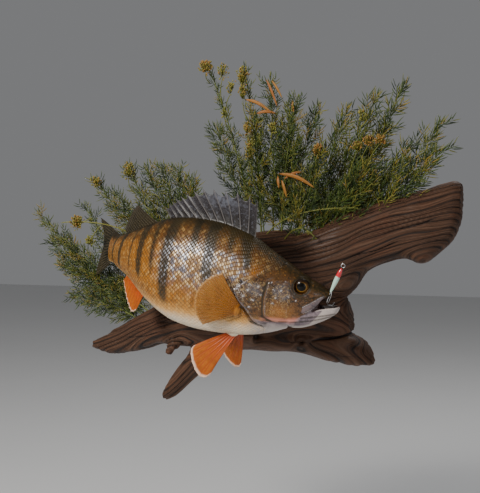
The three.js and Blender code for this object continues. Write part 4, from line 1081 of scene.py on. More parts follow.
# %% Paint for webs and rays
def fin_paint(name, root_colour, web_colour, ray_colour, rim_colour, opaque, blotch, rim_from=0.9,
              pearl_and_sheen=None):
    """Webs from root_colour to web_colour, rays over them, then a rim; opaque is the web's alpha."""
    paint = Paint(name, Roughness=0.5, Coat_Weight=0.15, Coat_Roughness=0.25, Specular_IOR_Level=0.25)
    u, v, ray = paint.masks("fin")
    rim = paint.mask("rim")
    cloud, fine = paint.noise(110, 3), paint.noise(900, 2)
    web = paint.over(root_colour, web_colour, paint.ramp(v, 0.05, 0.75))
    web = paint.over(web, blotch, paint.ramp(cloud, 0.48, 0.68, 0, 0.75))
    # The pearl colour is partly pale mottling of the web and partly a painted sheen, strongest round (u0,
    # v0).
    if pearl_and_sheen:
        colour, u0, v0 = pearl_and_sheen
        away = paint.math("ADD", paint.math("ABSOLUTE", paint.math("SUBTRACT", u, u0)),
                          paint.times(paint.math("ABSOLUTE", paint.math("SUBTRACT", v, v0)), 0.4))
        web = paint.over(web, colour, paint.ramp(paint.noise(330, 3), 0.54, 0.66, 0, 0.5))
        web = paint.over(web, colour, paint.times(paint.ramp(away, 0.26, 0.05),
                                                  paint.ramp(paint.noise(260, 3), 0.4, 0.6)))
    colour = paint.over(web, ray_colour, paint.ramp(ray, 0.25, 0.8, 0, 0.85))
    colour = paint.over(colour, rim_colour, paint.ramp(rim, rim_from, mix(rim_from, 1.0, 0.6), 0, 0.95))
    paint.set("Base Color", colour)
    solid = paint.math("MAXIMUM", paint.ramp(ray, 0.2, 0.6), paint.ramp(v, 0.16, 0.04))
    thin = paint.ramp(fine, 0.3, 0.7, opaque - 0.06, opaque + 0.06)
    paint.set("Alpha", paint.math("MAXIMUM", solid, thin))
    paint.bump(fine, 0.0001, 0.5)
    return paint.material


# The smoky web's blue-grey patch high on its front spines is a painted sheen.
smoky = fin_paint("smoky fin", (0.010, 0.007, 0.005), (0.030, 0.026, 0.030), (0.125, 0.112, 0.106),
                  (0.07, 0.066, 0.07), 0.9, (0.014, 0.010, 0.009), 0.97, ((0.105, 0.110, 0.135), 0.28, 0.8))
olive = fin_paint("olive fin", (0.026, 0.018, 0.006), (0.022, 0.018, 0.009), (0.075, 0.055, 0.030),
                  (0.03, 0.026, 0.016), 0.86, (0.010, 0.008, 0.004), 0.97)
orange = fin_paint("orange fin", (0.40, 0.040, 0.001), (0.42, 0.105, 0.003), (0.33, 0.048, 0.001),
                   (0.80, 0.56, 0.42), 0.92, (0.27, 0.060, 0.002), 0.93)
amber = fin_paint("amber fin", (0.32, 0.095, 0.005), (0.34, 0.140, 0.020), (0.215, 0.080, 0.010),
                  (0.46, 0.24, 0.08), 0.62, (0.20, 0.070, 0.010), 0.95)
print("nodes in a fin's paint:", len(smoky.node_tree.nodes))

# %% Fins on the middle line
SPINE_RAKE = curve([0, 5], [0.08, 5], [0.17, 10], [0.25, 14], [0.33, 19], [0.42, 23], [0.58, 26],
                   [0.75, 23], [1, 11])
SPINE_HEIGHT = curve([0, 36.5], [0.17, 35.5], [0.25, 33], [0.42, 28], [0.58, 20.5], [0.75, 14.5], [1, 8.5])


def from_back(first, last):
    """A root line just inside the back from station first to station last."""
    return lambda u: (mix(first, last, u), 0 * u, TOP(mix(first, last, u)) - 1.2)


fin("dorsal_spiny", 13, from_back(84.5, 181),
    lambda u: (mix(84.5, 181, u) + SPINE_RAKE(u), 0 * u, TOP(mix(84.5, 181, u)) + SPINE_HEIGHT(u)),
    smoky, ["dorsal_fin_first"], lambda u, v: 1.2 * np.sin(5 * u + 3 * v) * v, notch=0.12,
    spiny=True, thick=0.62, pleat=0.8, columns=12)
fin("dorsal_soft", 14, from_back(199, 251),
    lambda u: (mix(242, 268, u**0.8), 0 * u, 46 - 30 * u**1.4), olive, ["dorsal_fin_second"],
    lambda u, v: 2 * v * v)
fin("anal", 9, lambda u: (mix(203, 237, u), 0 * u, BOTTOM(mix(203, 237, u)) + 1.2),
    lambda u: (mix(211, 241.5, u), 0 * u, curve([0, -61], [0.2, -64.5], [0.5, -57], [1, -35.5])(u)),
    orange, ["anal_fin"], lambda u, v: -2 * v * v, columns=14)
fin("tail", 17, lambda u: (290.3 + 0 * u, 0 * u, mix(9.4, -22.4, u)),
    lambda u: (mix(348, 336, u) - 12 * np.sin(np.pi * u) ** 1.3, 0 * u, mix(18, -46, u)),
    olive, ["tail_fin"], lambda u, v: 1.5 * np.sin(2 * np.pi * u) * v, notch=0.03, thick=0.6)


# %% Paired fins
def fan_line(side, hub, root_span, reach, swing, out, share):
    """The end of each ray of a fan, or its root where share is 0: it lies at length reach(u) from the hub
    at angle swing(u), and stands off the middle plane by out(s, n, length)."""
    def line(u):
        length = reach(u) * share
        angle = np.radians(swing(u))
        s, n = hub[0] + length * np.cos(angle), hub[1] + length * np.sin(angle)
        return s + (u - 0.5) * root_span[0], side * out(s, n, length), n + (u - 0.5) * root_span[1]
    return line


def fan_sway(side):
    return lambda u, v: side * (1.5 * v + 2.5 * np.sin(np.pi * v))


PELVIC_SHAPE = curve([0, 0.70], [0.07, 0.79], [0.25, 0.87], [0.5, 0.96], [0.8, 1.03], [0.93, 1.0], [1, 0.88])


def beside(s, n, length):
    return half_width_at(s, n) + 1.2 + 0.1 * length


for side, label in ((NEAR, "right"), (FAR, "left")):
    shape = (side, (83, -25), (2, -9), lambda u: 35 + 5 * np.sin(np.pi * u) ** 0.8,
             lambda u: mix(56, -33, u), beside)
    fin(f"pectoral_{label}", 13, fan_line(*shape, 0), fan_line(*shape, 1), amber,
        [f"pectoral_fin_{label}"], fan_sway(side), pleat=0.25 * side, thick=0.62, web=0.14, notch=0.03)
for side, label, hub, low, high, lean, length in ((NEAR, "right", 89, -34, -69, 0.14, 54.5),
                                                  (FAR, "left", 85, -48, -88, 0.5, 43.5)):
    shape = (side, (hub, -55), (-8, -1), lambda u, k=length: k * PELVIC_SHAPE(u),
             lambda u, a=low, b=high: mix(a, b, u), lambda s, n, k, c=lean: 6 + c * k)
    fin(f"pelvic_{label}", 6, fan_line(*shape, 0), fan_line(*shape, 1), orange,
        [f"pelvic_fin_{label}"], fan_sway(side), across=(0, 1, 0.3 * side), pleat=0.2 * side, thick=0.7,
        notch=0.015, columns=20)

# %% [markdown]
# ## Driftwood
# The mount is a weathered root: its soft spring wood has worn away, so hard ridges run along it between
# grooves. The paint adds light and shade: the ridges' tops are painted lighter, and the grooves and cracks
# are painted dark as shade. Limbs are lofts through the same stations as the solid, melted into one surface.
# The relief then
# follows a grain coordinate: the distance across the grain from each limb's own heart line. Where two limbs
# meet, the coordinate is blended, and the grain swirls from one into the other as it does in a real root.

# %% The limbs, melted together
# Each limb is a row of stations: [x, y, z, half height, half depth] in mm.
LIMBS = {
    "plank": [[0, -54, -14, 30, 40], [55, -57, -5, 37, 33], [86, -57, 5, 43, 30], [112, -55, 24, 33, 26],
              [147, -53, 36, 32, 23], [165, -52, 36, 37, 22], [184, -51, 45, 34, 20],
              [197, -50, 53, 30, 17], [206, -49, 64, 17, 11]],
    "shoulder": [[-3, -54, -56, 28, 38], [55, -58, -54, 29, 29], [86, -58, -58, 22, 23],
                 [94, -57, -67, 9, 14]],
    "heel": [[-44, -54, -84, 13, 22], [-3, -56, -81, 14, 28], [39, -58, -82, 14, 27],
             [71, -57, -88, 16, 24], [94, -56, -92, 15, 20], [106, -55, -95.5, 12, 16],
             [117, -54, -103, 4, 8]],
    "left": [[-3, -54, -66, 26, 40], [-44, -53, -70, 27, 36], [-84, -51, -69, 26, 30],
             [-113, -48, -72, 22, 25], [-131, -46, -79, 20, 21], [-149, -44, -86, 18, 18],
             [-166, -43, -93, 14, 15], [-185, -41, -98, 8, 11], [-199, -40, -99, 3.5, 5]],
    "spur": [[-50, -52, -80, 17, 24], [-65, -54, -98, 14, 19], [-79, -54, -116, 10.5, 14],
             [-94, -53, -132, 9, 12], [-106, -52, -145, 6.5, 9], [-113, -51, -152, 3, 5]],
    "core": [[-122, -40, -46, 12, 22], [-88, -44, -38, 32, 40], [-40, -46, -24, 46, 50],
             [20, -48, -18, 48, 52], [62, -50, -16, 34, 40]],
    "nub": [[-93, -68, -86, 9, 9], [-97, -72, -94, 5, 6], [-101, -74, -101, 2.2, 3]],
}
BACK_FACE = -2.3  # the sawn back, clear of the hanger plate
WOOD_VOXEL = 1.35


def limb(name):
    """A loft of squarish rings: (height sin^0.8, depth cos^0.8) round stations joined by smooth curves."""
    table = np.array(LIMBS[name], float)
    t = np.arange(len(table))
    fine = np.linspace(0, t[-1], 10 * t[-1] + 1)
    x, y, z, high, deep = (curve(*np.stack([t, column], -1))(fine)[:, None] for column in table.T)
    slope = 0 * x
    if name in ("spur", "nub"):
        slope = np.arctan2(np.gradient(z[:, 0]), np.gradient(x[:, 0]))[:, None] + math.pi
    turn = np.linspace(0, 2 * math.pi, 64, endpoint=False)[None]
    up = np.sign(np.sin(turn)) * np.abs(np.sin(turn)) ** 0.8 * high
    out = np.sign(np.cos(turn)) * np.abs(np.cos(turn)) ** 0.8 * deep
    ring = np.stack([x - up * np.sin(slope), np.minimum(y + out, BACK_FACE), z + up * np.cos(slope)], -1)
    return tube(ring)


wood_place, wood_faces = melted(*join(*[limb(name) for name in LIMBS]), WOOD_VOXEL, 6)
print("driftwood:", len(wood_place), "points")

# %% Grain, cracks and a knot
# Heart lines in the front view: (line x -> z, half width of its limb, first x, last x).
HEARTS = [(curve([-60, -26], [0, -22], [55, -5], [86, 5], [112, 20], [147, 34], [184, 46], [206, 55]),
           36, 0, 300),
          (curve([-200, -99], [-166, -93], [-131, -79], [-84, -69], [0, -60]), 26, -300, -30),
          (curve([-44, -84], [39, -83], [71, -88], [117, -103]), 15, -60, 300),
          (curve([-60, -40], [0, -50], [94, -64]), 22, -60, 110)]
# Cracks: (one end, the other end, width, depth).
CRACKS = [((108, -72), (58, -81), 1.1, 4.0), ((160, 27), (92, 3), 0.7, 2.0),
          ((196, 50), (132, 30), 0.7, 2.2), ((-60, -62), (-120, -70), 0.8, 2.0),
          ((-100, -78), (-160, -90), 0.7, 1.8), ((70, -92), (108, -99), 0.6, 1.5),
          ((60, -34), (20, -42), 0.8, 2.0), ((-66, -100), (-98, -136), 0.7, 1.6)]
KNOT = np.array([47.0, -83.0])
RIDGE_PITCH = 6.3
print("heart lines:", len(HEARTS), "cracks:", len(CRACKS))


def grain_at(x, y, z):
    """Distance across the grain in mm: height over each heart line, plus 0.55 of the depth so that the
    grain also shows on the upper and lower faces, mixed by how near each line is."""
    total, weight = 0 * x, 1e-6 + 0 * x
    for line, half, first, last in HEARTS:
        near = bell(z - line(x), 0.9 * half) * smooth(x, first - 30, first + 10)
        near *= 1 - smooth(x, last - 10, last + 30)
        total, weight = total + near * (z - line(x)), weight + near
    across_spur = ((x + 50) * 72 - (z + 80) * 63) / 95.7
    near = 2 * bell(across_spur, 14) * smooth(-z, 84, 100) * smooth(-x, 44, 60)
    q = (total + near * across_spur) / (weight + near) + 0.55 * (y + 54)
    away = np.stack([x, z], -1) - KNOT
    far = np.linalg.norm(away, axis=-1)
    return q + 5 * np.sign(away[:, 1]) * bell(far, 9) * (1 - bell(far, 3))


# %% Relief of weathered wood
def wood_relief(x, y, z, q):
    """(ridges, lumps, cracks, ring count) at points whose grain coordinate is q: ridges with sharp valleys
    about 6 mm apart and finer ones between, long soft lumps with the knot, and the cracks' depth."""
    drift = 2.4 * ripple(0.045 * x + 0.1 * q, 0.021 * x - 0.05 * y + 2, 0.09 * x - 0.2 * q)
    a = q + 1.7 * np.sin(0.24 * q + 1) + drift
    strong = 0.58 + 0.42 * ripple(0.13 * q + 0.012 * x + 1, 0.31 * q - 0.05 * x, 0.06 * x + 0.2 * q)
    ridge = 2.3 * strong * (np.abs(np.sin(math.pi * a / RIDGE_PITCH)) ** 0.6 - 0.72)
    fine = 0.32 * np.sin(2 * math.pi * a / 2.7 + 0.05 * x)
    fine += 0.16 * np.sin(2 * math.pi * a / 1.9 + 0.08 * x + 0.1 * y)
    lumps = 1.2 * ripple(0.07 * x + 1, 0.11 * z + 0.05 * x, 0.16 * x - 0.09 * y, 0.2 * z + 0.13 * y)
    cuts = 0 * x
    for (x0, z0), (x1, z1), width, depth in CRACKS:
        t = np.clip(((x - x0) * (x1 - x0) + (z - z0) * (z1 - z0)) / ((x1 - x0) ** 2 + (z1 - z0) ** 2), 0, 1)
        wander = 0.9 * np.sin(9 * t)
        away = np.hypot(x - x0 - t * (x1 - x0), z - z0 - t * (z1 - z0) - wander)
        taper = np.sin(math.pi * np.clip(t, 0.06, 0.94)) ** 0.6
        cuts = np.maximum(cuts, depth * bell(away, width) * taper * (y < -40))
    from_knot = np.hypot(x - KNOT[0], z - KNOT[1])
    knot = (1.3 * bell(from_knot - 4.5, 2) - 3.2 * bell(from_knot, 1.9)) * (y < -40)
    return ridge + fine, lumps + knot, cuts, a


x, y, z = wood_place.T
q = grain_at(x, y, z)
fine_relief, large_relief, cuts, ring_count = wood_relief(x, y, z, q)


def normals_of(points, faces):
    """Outward unit normals: the sum of the normals of the faces round each point."""
    cross = np.cross(points[faces[:, 2]] - points[faces[:, 0]], points[faces[:, 3]] - points[faces[:, 1]])
    total = np.zeros_like(points)
    for corner in range(4):
        np.add.at(total, faces[:, corner], cross)
    return unit(total)


free = smooth(-y, 3, 9)[:, None]  # the sawn back stays flat
proud = (fine_relief + large_relief - cuts)[:, None]
wood_points = wood_place + free * normals_of(wood_place, wood_faces) * proud
wood_points[:, 1] = np.minimum(wood_points[:, 1], BACK_FACE)
print("relief of the wood, in mm:", [round(float(v), 1) for v in (proud.min(), proud.max())])

# %% Paint for weathered wood under varnish
paint = Paint("weathered wood", Roughness=0.6, Coat_Weight=0.08, Coat_Roughness=0.3, Specular_IOR_Level=0.3)
across, relief, cut = paint.masks("grain")
along = paint.node("SeparateXYZ", {0: paint.place()}).outputs


def grain_noise(over_grain, over_x, over_y, detail, roughness):
    """Noise drawn out along the grain: its scales across the grain, along x and along y."""
    scaled = {0: paint.times(across, over_grain), 1: paint.times(along[0], over_x),
              2: paint.times(along[1], over_y)}
    return paint.noise(1, detail, roughness, paint.node("CombineXYZ", scaled).outputs[0])


streak = grain_noise(0.9, 18.0, 40.0, 5, 0.65)
fibre = grain_noise(4.5, 60.0, 90.0, 3, 0.7)
patches = paint.noise(22, 3)
wobble = paint.math("ADD", across, paint.times(paint.math("SUBTRACT", streak, 0.5), 2.2))
valley = paint.math("ABSOLUTE", paint.math("SINE", paint.times(wobble, math.pi / RIDGE_PITCH)))
minor = paint.math("ABSOLUTE", paint.math("SINE", paint.times(wobble, 1.37)))
wood = paint.over((0.038, 0.015, 0.006), (0.108, 0.047, 0.022), paint.ramp(streak, 0.32, 0.66))
wood = paint.over(wood, (0.12, 0.036, 0.013), paint.ramp(patches, 0.52, 0.72, 0, 0.5))
# Painted highlight: the proud tops of the ridges are lighter.
wood = paint.over(wood, (0.170, 0.098, 0.060), paint.ramp(relief, 0.25, 0.9, 0, 0.5))
wood = paint.over(wood, (0.018, 0.010, 0.006), paint.ramp(fibre, 0.50, 0.30, 0, 0.6))
# Painted shade: the fine grooves, the deep grooves between ridges and the cracks are darkened.
wood = paint.over(wood, (0.020, 0.011, 0.007), paint.ramp(minor, 0.35, 0.05, 0, 0.55))
wood = paint.over(wood, (0.006, 0.003, 0.002), paint.ramp(valley, 0.42, 0.08, 0, 0.92))
wood = paint.over(wood, (0.004, 0.002, 0.002), paint.ramp(cut, 0.3, 1.5, 0, 0.95))
# Painted shade in small pits.
pits = paint.ramp(paint.cells(210), 0.16, 0.10)
pitted = paint.times(pits, paint.ramp(paint.noise(30, 2), 0.55, 0.62))
wood = paint.over(wood, (0.012, 0.008, 0.005), pitted)
paint.set("Base Color", wood)
paint.set("Roughness", paint.ramp(fibre, 0.3, 0.7, 0.8, 0.55))
height = paint.math("ADD", fibre, paint.times(paint.ramp(valley, 0.0, 0.5), 1.5))
height = paint.math("ADD", height, paint.times(paint.ramp(minor, 0.0, 0.5), 0.7))
paint.bump(height, 0.0007, 0.8)

piece("driftwood_root", wood_points * MM, wood_faces, paint.material,
      {"grain": np.stack([ring_count, fine_relief, cuts], -1)}, ["driftwood"])

# %% [markdown]
# ## Dried plants
# Preserved yarrow and asparagus-like sprays stand behind the fish. Every stem is a curve with one bend. From
# it grow side branches, turned by the golden angle from one to the next, and every branch carries needles
# the same way. All of these are one kind of shape: a spindle along a short path, pointed at both ends. One
# function makes thousands of them at once, and each is closed.

# %% Many spindles in one mesh
def spindles(path, radius, around=3, flat=1.0):
    """Closed shells along N paths of R points each, with rings at the inner points: round, or flattened by
    flat. radius is (N, R - 2). The side axis is square to the path and to a slanting helper."""
    ahead = unit(np.gradient(path, axis=1))[:, 1:-1]
    side = unit(np.cross(ahead, unit(np.array([0.3, 1.0, 0.2]))))
    third = np.cross(ahead, side)
    turn = np.linspace(0, 2 * math.pi, around, endpoint=False)[:, None]
    rings = path[:, 1:-1, None] + radius[..., None, None] * (
        side[:, :, None] * np.cos(turn) + flat * third[:, :, None] * np.sin(turn))
    count, inner = radius.shape
    points = np.concatenate([path[:, :1], rings.reshape(count, -1, 3), path[:, -1:]], 1)
    k = np.arange(around)
    after, last = (k + 1) % around, (inner - 1) * around
    start, end = k * 0, k * 0 + points.shape[1] - 1
    one = np.concatenate([np.stack([start, 1 + after, 1 + k, 1 + k], -1), grid_faces(inner, around, True, 1),
                          np.stack([1 + last + k, 1 + last + after, end, end], -1)])
    faces = one[None] + (np.arange(count) * points.shape[1])[:, None, None]
    return points.reshape(-1, 3), faces.reshape(-1, 4)


print("faces of one needle:", len(spindles(np.zeros((1, 4, 3)), np.ones((1, 2)))[1]))


# %% Stems
# Each stem: start, end and the bow of its middle, in mm.
STEMS = {
    "upper": [([-14, -34, -10], [-66, -38, 201], [16, 0, 0]), ([-6, -42, -10], [-24, -48, 202], [8, 0, 0]),
              ([2, -34, -10], [2, -40, 190], [6, 0, 0]), ([20, -56, -10], [36, -56, 168], [-14, 0, 0]),
              ([32, -62, -4], [62, -66, 116], [-4, 0, -10])],
    "right": [([44, -40, 0], [116, -40, 171], [-12, 0, -14]), ([54, -48, 4], [144, -46, 182], [-4, 0, -30]),
              ([62, -54, 6], [184, -53, 143], [0, 0, -24]), ([70, -60, 8], [187, -60, 115], [0, 0, -16])],
    "left": [([-86, -26, -40], [-199, -24, 79], [-6, 4, -14]),
             ([-82, -32, -40], [-159, -31, 94], [-4, 0, -8]),
             ([-78, -40, -38], [-118, -38, 98], [-2, 0, 0]), ([-70, -46, -36], [-84, -46, 84], [-2, 0, 0])],
    "lower": [([-126, -36, -72], [-273, -13, 43], [-18, 14, -12]),
              ([-120, -44, -70], [-241, -19, 16], [-10, 14, 0]),
              ([-134, -44, -76], [-229, -25, -48], [0, 6, 12])],
    "flower": [([-100, -52, -30], [-222, -76, 36], [33, 0, 43])],
    "front": [([-6, -66, -4], [106, -80, 56], [-50, 0, 32]), ([12, -72, -6], [63, -92, 26], [0, -4, 44])],
}
print("stems:", {label: len(stems) for label, stems in STEMS.items()})


def along_stem(stem, t):
    """(place, direction) on the parabola through a stem's start and end whose middle is pulled by the bow."""
    start, end, bow = (np.array(v, float) for v in stem)
    pull, t = (start + end) / 2 + bow, np.asarray(t)[..., None]
    return ((1 - t) ** 2 * start + 2 * t * (1 - t) * pull + t * t * end,
            unit(2 * (1 - t) * (pull - start) + 2 * t * (end - pull)))


def round_about(ahead, turn, depth):
    """Unit directions square to ahead, at the angle turn, squeezed front to back by depth."""
    side = unit(np.cross(ahead, [0.05, 1.0, 0.1]))
    return unit(side * np.cos(turn)[..., None] + depth * np.cross(ahead, side) * np.sin(turn)[..., None])


# %% Branches and needles of a stem
def spray(stem, first, branches, reach, lean, needle, gap, open_angle, depth, width):
    """A leafy stem: (paths, radii, tints) of its branches and of its needles. first: share of the stem left
    bare; reach: longest branch; lean: its angle from the stem; needle: needle length; gap: needles'
    spacing; open_angle: their angle from the branch; depth: front-to-back squeeze; width: half a needle."""
    t = np.clip(np.linspace(first, 0.97, branches) + rng.normal(0, 0.01, branches), first, 0.985)
    base, ahead = along_stem(stem, t)
    out = round_about(ahead, 2.4 * np.arange(branches) + rng.normal(0, 0.3, branches), depth)
    angle = lean * rng.uniform(0.75, 1.25, branches)[:, None]
    way = unit(ahead * np.cos(angle) + out * np.sin(angle))
    length = reach * rng.uniform(0.6, 1.1, branches) * (1 - 0.62 * smooth(t, 0.35, 1.0))
    steps = np.array([0, 0.25, 0.5, 0.75, 1.0])[None, :, None]
    bend = 0.4 * (ahead - way) + rng.normal(0, 0.10, (branches, 3))
    size = length[:, None, None]
    branch_path = base[:, None] + size * (way[:, None] * steps + bend[:, None] * steps**2)
    tint = np.clip(rng.normal(0.42, 0.28, branches) + 0.25 * (t - 0.5), 0, 1)
    # needles of the branches, then of the stem
    along = (np.arange(int(1.1 * reach / gap)) + 0.6) * gap
    share = along[None] / length[:, None]
    row, column = np.nonzero((share < 1.0) & (share > 0.06))
    u = share[row, column][:, None]
    root = base[row] + length[row, None] * (way[row] * u + bend[row] * u**2)
    ahead_n = unit(way[row] + 2 * bend[row] * u)
    bare_end, top = along_stem(stem, [first, 1])[0]
    stem_u = np.linspace(first, 1, int(np.linalg.norm(top - bare_end) / gap))
    on_stem, ahead_s = along_stem(stem, stem_u)
    root, ahead_n = np.concatenate([root, on_stem]), np.concatenate([ahead_n, ahead_s])
    number = np.concatenate([column, np.arange(len(stem_u))])
    tint_n = np.concatenate([tint[row], np.full(len(stem_u), 0.5)])
    late = np.concatenate([u[:, 0], stem_u])
    root, ahead_n, number, tint_n, late = (np.repeat(v, 2, 0) for v in (root, ahead_n, number, tint_n, late))
    count = len(root)
    out = round_about(ahead_n, 2.4 * number + 3.14 * np.arange(count) + rng.normal(0, 0.4, count), depth)
    angle = (open_angle * (1.15 - 0.55 * late**3) * rng.uniform(0.7, 1.25, count))[:, None]
    way_n = unit(ahead_n * np.cos(angle) + out * np.sin(angle))
    size = (needle * rng.uniform(0.55, 1.15, count) * (1 - 0.25 * late))[:, None, None]
    steps = np.array([0, 0.3, 0.72, 1.0])[None, :, None]
    curl = 0.3 * (ahead_n - way_n) + rng.normal(0, 0.09, (count, 3))
    needle_path = root[:, None] + size * (way_n[:, None] * steps + curl[:, None] * steps**2)
    thick = np.array([1.0, 0.7])[None] * width * rng.uniform(0.8, 1.2, (count, 1))
    return ((branch_path, np.array([0.42, 0.36, 0.24])[None] + 0 * length[:, None], tint),
            (needle_path, thick, np.clip(tint_n + rng.normal(0, 0.2, count), 0, 1)))


# %% Bare stalks and flower heads
def stalk(path, thick, thin, tint=0.75):
    """One stem of N points as a spindle: (paths, radii, tints)."""
    return path[None], np.linspace(thick, thin, len(path) - 2)[None], np.array([tint])


BUD = 0.85  # half a bud's width, in mm


def beads(centre, size, count, tint, upright):
    """A flower head: round buds on stalks that point away from its foot. upright stretches it."""
    way = unit(rng.normal(0, 1, (count, 3)) * [1, 0.8, 1] + [0, -0.3, 0.6 * (1 + upright)])
    far = size * rng.uniform(0.45, 1.0, count)[:, None]
    stretch = np.array([1, 1, 1 + upright])
    top = np.array(centre, float) + way * far * stretch
    foot = np.array(centre, float) - [0, 0, 0.5 * size] + 0.15 * way * far
    steps = np.linspace(0, 1, 4)[None, :, None]
    stalks = foot[:, None] + (top - foot)[:, None] * steps
    tip = unit(top - foot)
    steps = np.array([-0.9, -0.45, 0.45, 1.0])[None, :, None]
    grain = BUD * rng.uniform(0.7, 1.3, (count, 1))
    buds = top[:, None] + 1.5 * grain[..., None] * tip[:, None] * steps
    return ((stalks, np.full((count, 2), 0.22), np.full(count, tint - 0.15)),
            (buds, grain * np.array([[0.85, 0.8]]), np.clip(tint + rng.normal(0, 0.12, count), 0, 1.5)))


# %% Paint for leaves, stems and flowers
leaf = Paint("dried leaves", Roughness=0.55)
tint, tip = leaf.mask("tint"), leaf.mask("tip")
colour = leaf.over((0.010, 0.026, 0.003), (0.052, 0.088, 0.008), leaf.ramp(tint, 0.05, 0.5))
colour = leaf.over(colour, (0.19, 0.175, 0.018), leaf.ramp(tint, 0.5, 0.85))
colour = leaf.over(colour, (0.30, 0.125, 0.018), leaf.ramp(tint, 0.9, 1.15))
colour = leaf.over(colour, (0.26, 0.075, 0.012), leaf.ramp(tint, 1.2, 1.5))
colour = leaf.over(colour, (0.22, 0.24, 0.06), leaf.ramp(tip, 0.6, 1.0, 0, 0.45))
colour = leaf.over(colour, (0.03, 0.035, 0.012), leaf.ramp(leaf.noise(120, 2), 0.58, 0.75, 0, 0.5))
leaf.set("Base Color", colour)


def plant_piece(name, parts, replaces):
    """One piece from many groups of spindles: (paths, radii, tints) and, if given, sides and flatness."""
    shapes, tints, tips = [], [], []
    for path, radius, tint, *form in parts:
        around, flat = form or (3, 1.0)
        path = np.stack([path[..., 0], np.minimum(path[..., 1], -2.0), path[..., 2]], -1)
        shapes.append(spindles(path, radius, around, flat))
        corners = 2 + radius.shape[1] * around
        tints.append(np.repeat(tint, corners))
        share = np.concatenate([[0], np.repeat(np.linspace(0.3, 0.7, radius.shape[1]), around), [1]])
        tips.append(np.tile(share, len(path)))
    points, faces = join(*shapes)
    piece(name, points * MM, faces, leaf.material,
          {"tint": np.concatenate(tints), "tip": np.concatenate(tips)}, replaces)


# %% The four stands of sprays
rng = np.random.default_rng(21)
t = np.linspace(0, 1, 40)

# Finer shoots fill the stands between the stems that carry them.
SHOOTS = {
    "upper": [([-12, -30, -5], [-62, -30, 138], [6, 0, 0]), ([0, -44, 0], [-10, -56, 150], [-4, 0, 0]),
              ([8, -34, 0], [22, -36, 160], [6, 0, 0]), ([24, -48, 0], [54, -44, 158], [-10, 0, 0])],
    "right": [([38, -36, 0], [84, -38, 156], [-8, 0, 0]), ([56, -44, 4], [128, -40, 142], [-6, 0, -14]),
              ([60, -50, 8], [152, -48, 118], [-4, 0, -18]), ([50, -62, 8], [112, -64, 96], [-4, 0, -6])],
    "left": [([-84, -28, -40], [-176, -28, 66], [-6, 2, -8]), ([-80, -34, -40], [-138, -32, 96], [-3, 0, -4]),
             ([-74, -40, -36], [-100, -40, 94], [0, 0, 0])],
    "lower": [([-122, -40, -70], [-256, -20, 14], [-16, 12, -12]),
              ([-128, -40, -72], [-244, -22, -12], [-12, 10, 4]),
              ([-118, -38, -66], [-214, -22, 52], [-4, 8, -20])],
}
# first, branches, reach, lean, needle, gap, open angle, depth, width
FEATHERY = {"upper": (0.22, 40, 38, 0.95, 12.5, 2.9, 0.8, 0.6, 0.60),
            "right": (0.16, 34, 42, 0.8, 16.5, 3.3, 0.75, 0.5, 0.66),
            "left": (0.3, 32, 34, 0.95, 12.5, 2.9, 0.85, 0.5, 0.60),
            "lower": (0.14, 34, 32, 0.95, 12.0, 2.9, 0.85, 0.4, 0.60)}
SLIM = (0.32, 24, 22, 0.9, 10.0, 2.7, 0.85, 0.6, 0.55)  # for the two tall stems that end in flowers


def stand(label, slim=0):
    """The stems and shoots of a stand with their branches and needles; the first slim stems are sparser."""
    parts = [stalk(along_stem(stem, t)[0], 1.1, 0.4, 0.6) + (6, 1.0) for stem in STEMS[label]]
    parts += [stalk(along_stem(stem, t)[0], 0.8, 0.3, 0.55) + (5, 1.0) for stem in SHOOTS[label]]
    for number, stem in enumerate(STEMS[label] + SHOOTS[label]):
        branches, needles = spray(stem, *(SLIM if number < slim else FEATHERY[label]))
        parts += [branches, needles + (3, 0.4)]
    return parts


def numbered(label, count):
    return [f"plant_{label}_{k + 1}" for k in range(count)]


# %% Flower heads
def flower(centre, size, count, tint, foot, upright):
    """A head of buds and the stalk that carries it from a foot on some stem."""
    centre, foot = np.array(centre, float), np.array(foot, float)
    u = np.linspace(0, 1, 12)[:, None]
    low = centre - [0, 0, 0.5 * size]
    path = mix(foot, low, u) + np.sin(math.pi * u) * np.array([-2.0, -2.0, 0])
    stalks, buds = beads(centre, size, count, tint, upright)
    return [stalk(path, 0.55, 0.4, 0.7) + (5, 1.0), stalks, buds + (5, 1.0)]


# Flower heads: (place, size, buds, tint, foot, upright).
HEADS = {
    "upper": [((-66, -48, 201), 8.5, 90, 1.05, (-64, -39, 184), 0),
              ((-47, -50, 195), 7, 50, 0.95, (-50, -40, 160), 0.5),
              ((-26, -50, 186), 8, 80, 0.98, (-22, -47, 165), 1.2),
              ((-13, -66, 108), 7.5, 90, 0.95, (-6, -46, 60), 1.6),
              ((60, -68, 113), 6.5, 60, 1.15, (60, -66, 96), 0.4),
              ((-18, -60, 134), 4.5, 40, 1.1, (-10, -46, 96), 1.2),
              ((10, -62, 136), 6, 60, 0.9, (6, -40, 100), 0.3),
              ((-38, -52, 176), 5, 40, 0.85, (-46, -40, 150), 1.4),
              ((-24, -54, 170), 6, 50, 0.9, (-18, -46, 140), 1.5),
              ((-44, -54, 152), 4, 30, 0.8, (-40, -36, 130), 0.8)],
    "right": [((100, -62, 118), 6.5, 60, 1.0, (84, -50, 60), 0),
              ((112, -62, 124), 6.5, 70, 1.1, (96, -50, 84), 0),
              ((124, -62, 125), 6, 60, 1.1, (104, -50, 90), 0),
              ((104, -56, 146), 6, 50, 0.85, (98, -42, 110), 0.8)],
    "left": [((-199, -28, 78), 7, 60, 0.9, (-186, -26, 60), 0),
             ((-158, -36, 88), 8, 80, 0.9, (-152, -32, 66), 0.8)],
    "flower": [((-204, -72, 36), 8.5, 120, 1.0, (-186, -68, 42), 0),
               ((-190, -70, 16), 6, 60, 0.8, (-176, -66, 36), 0)]}


def flowers(label):
    return [group for head in HEADS[label] for group in flower(*head)]


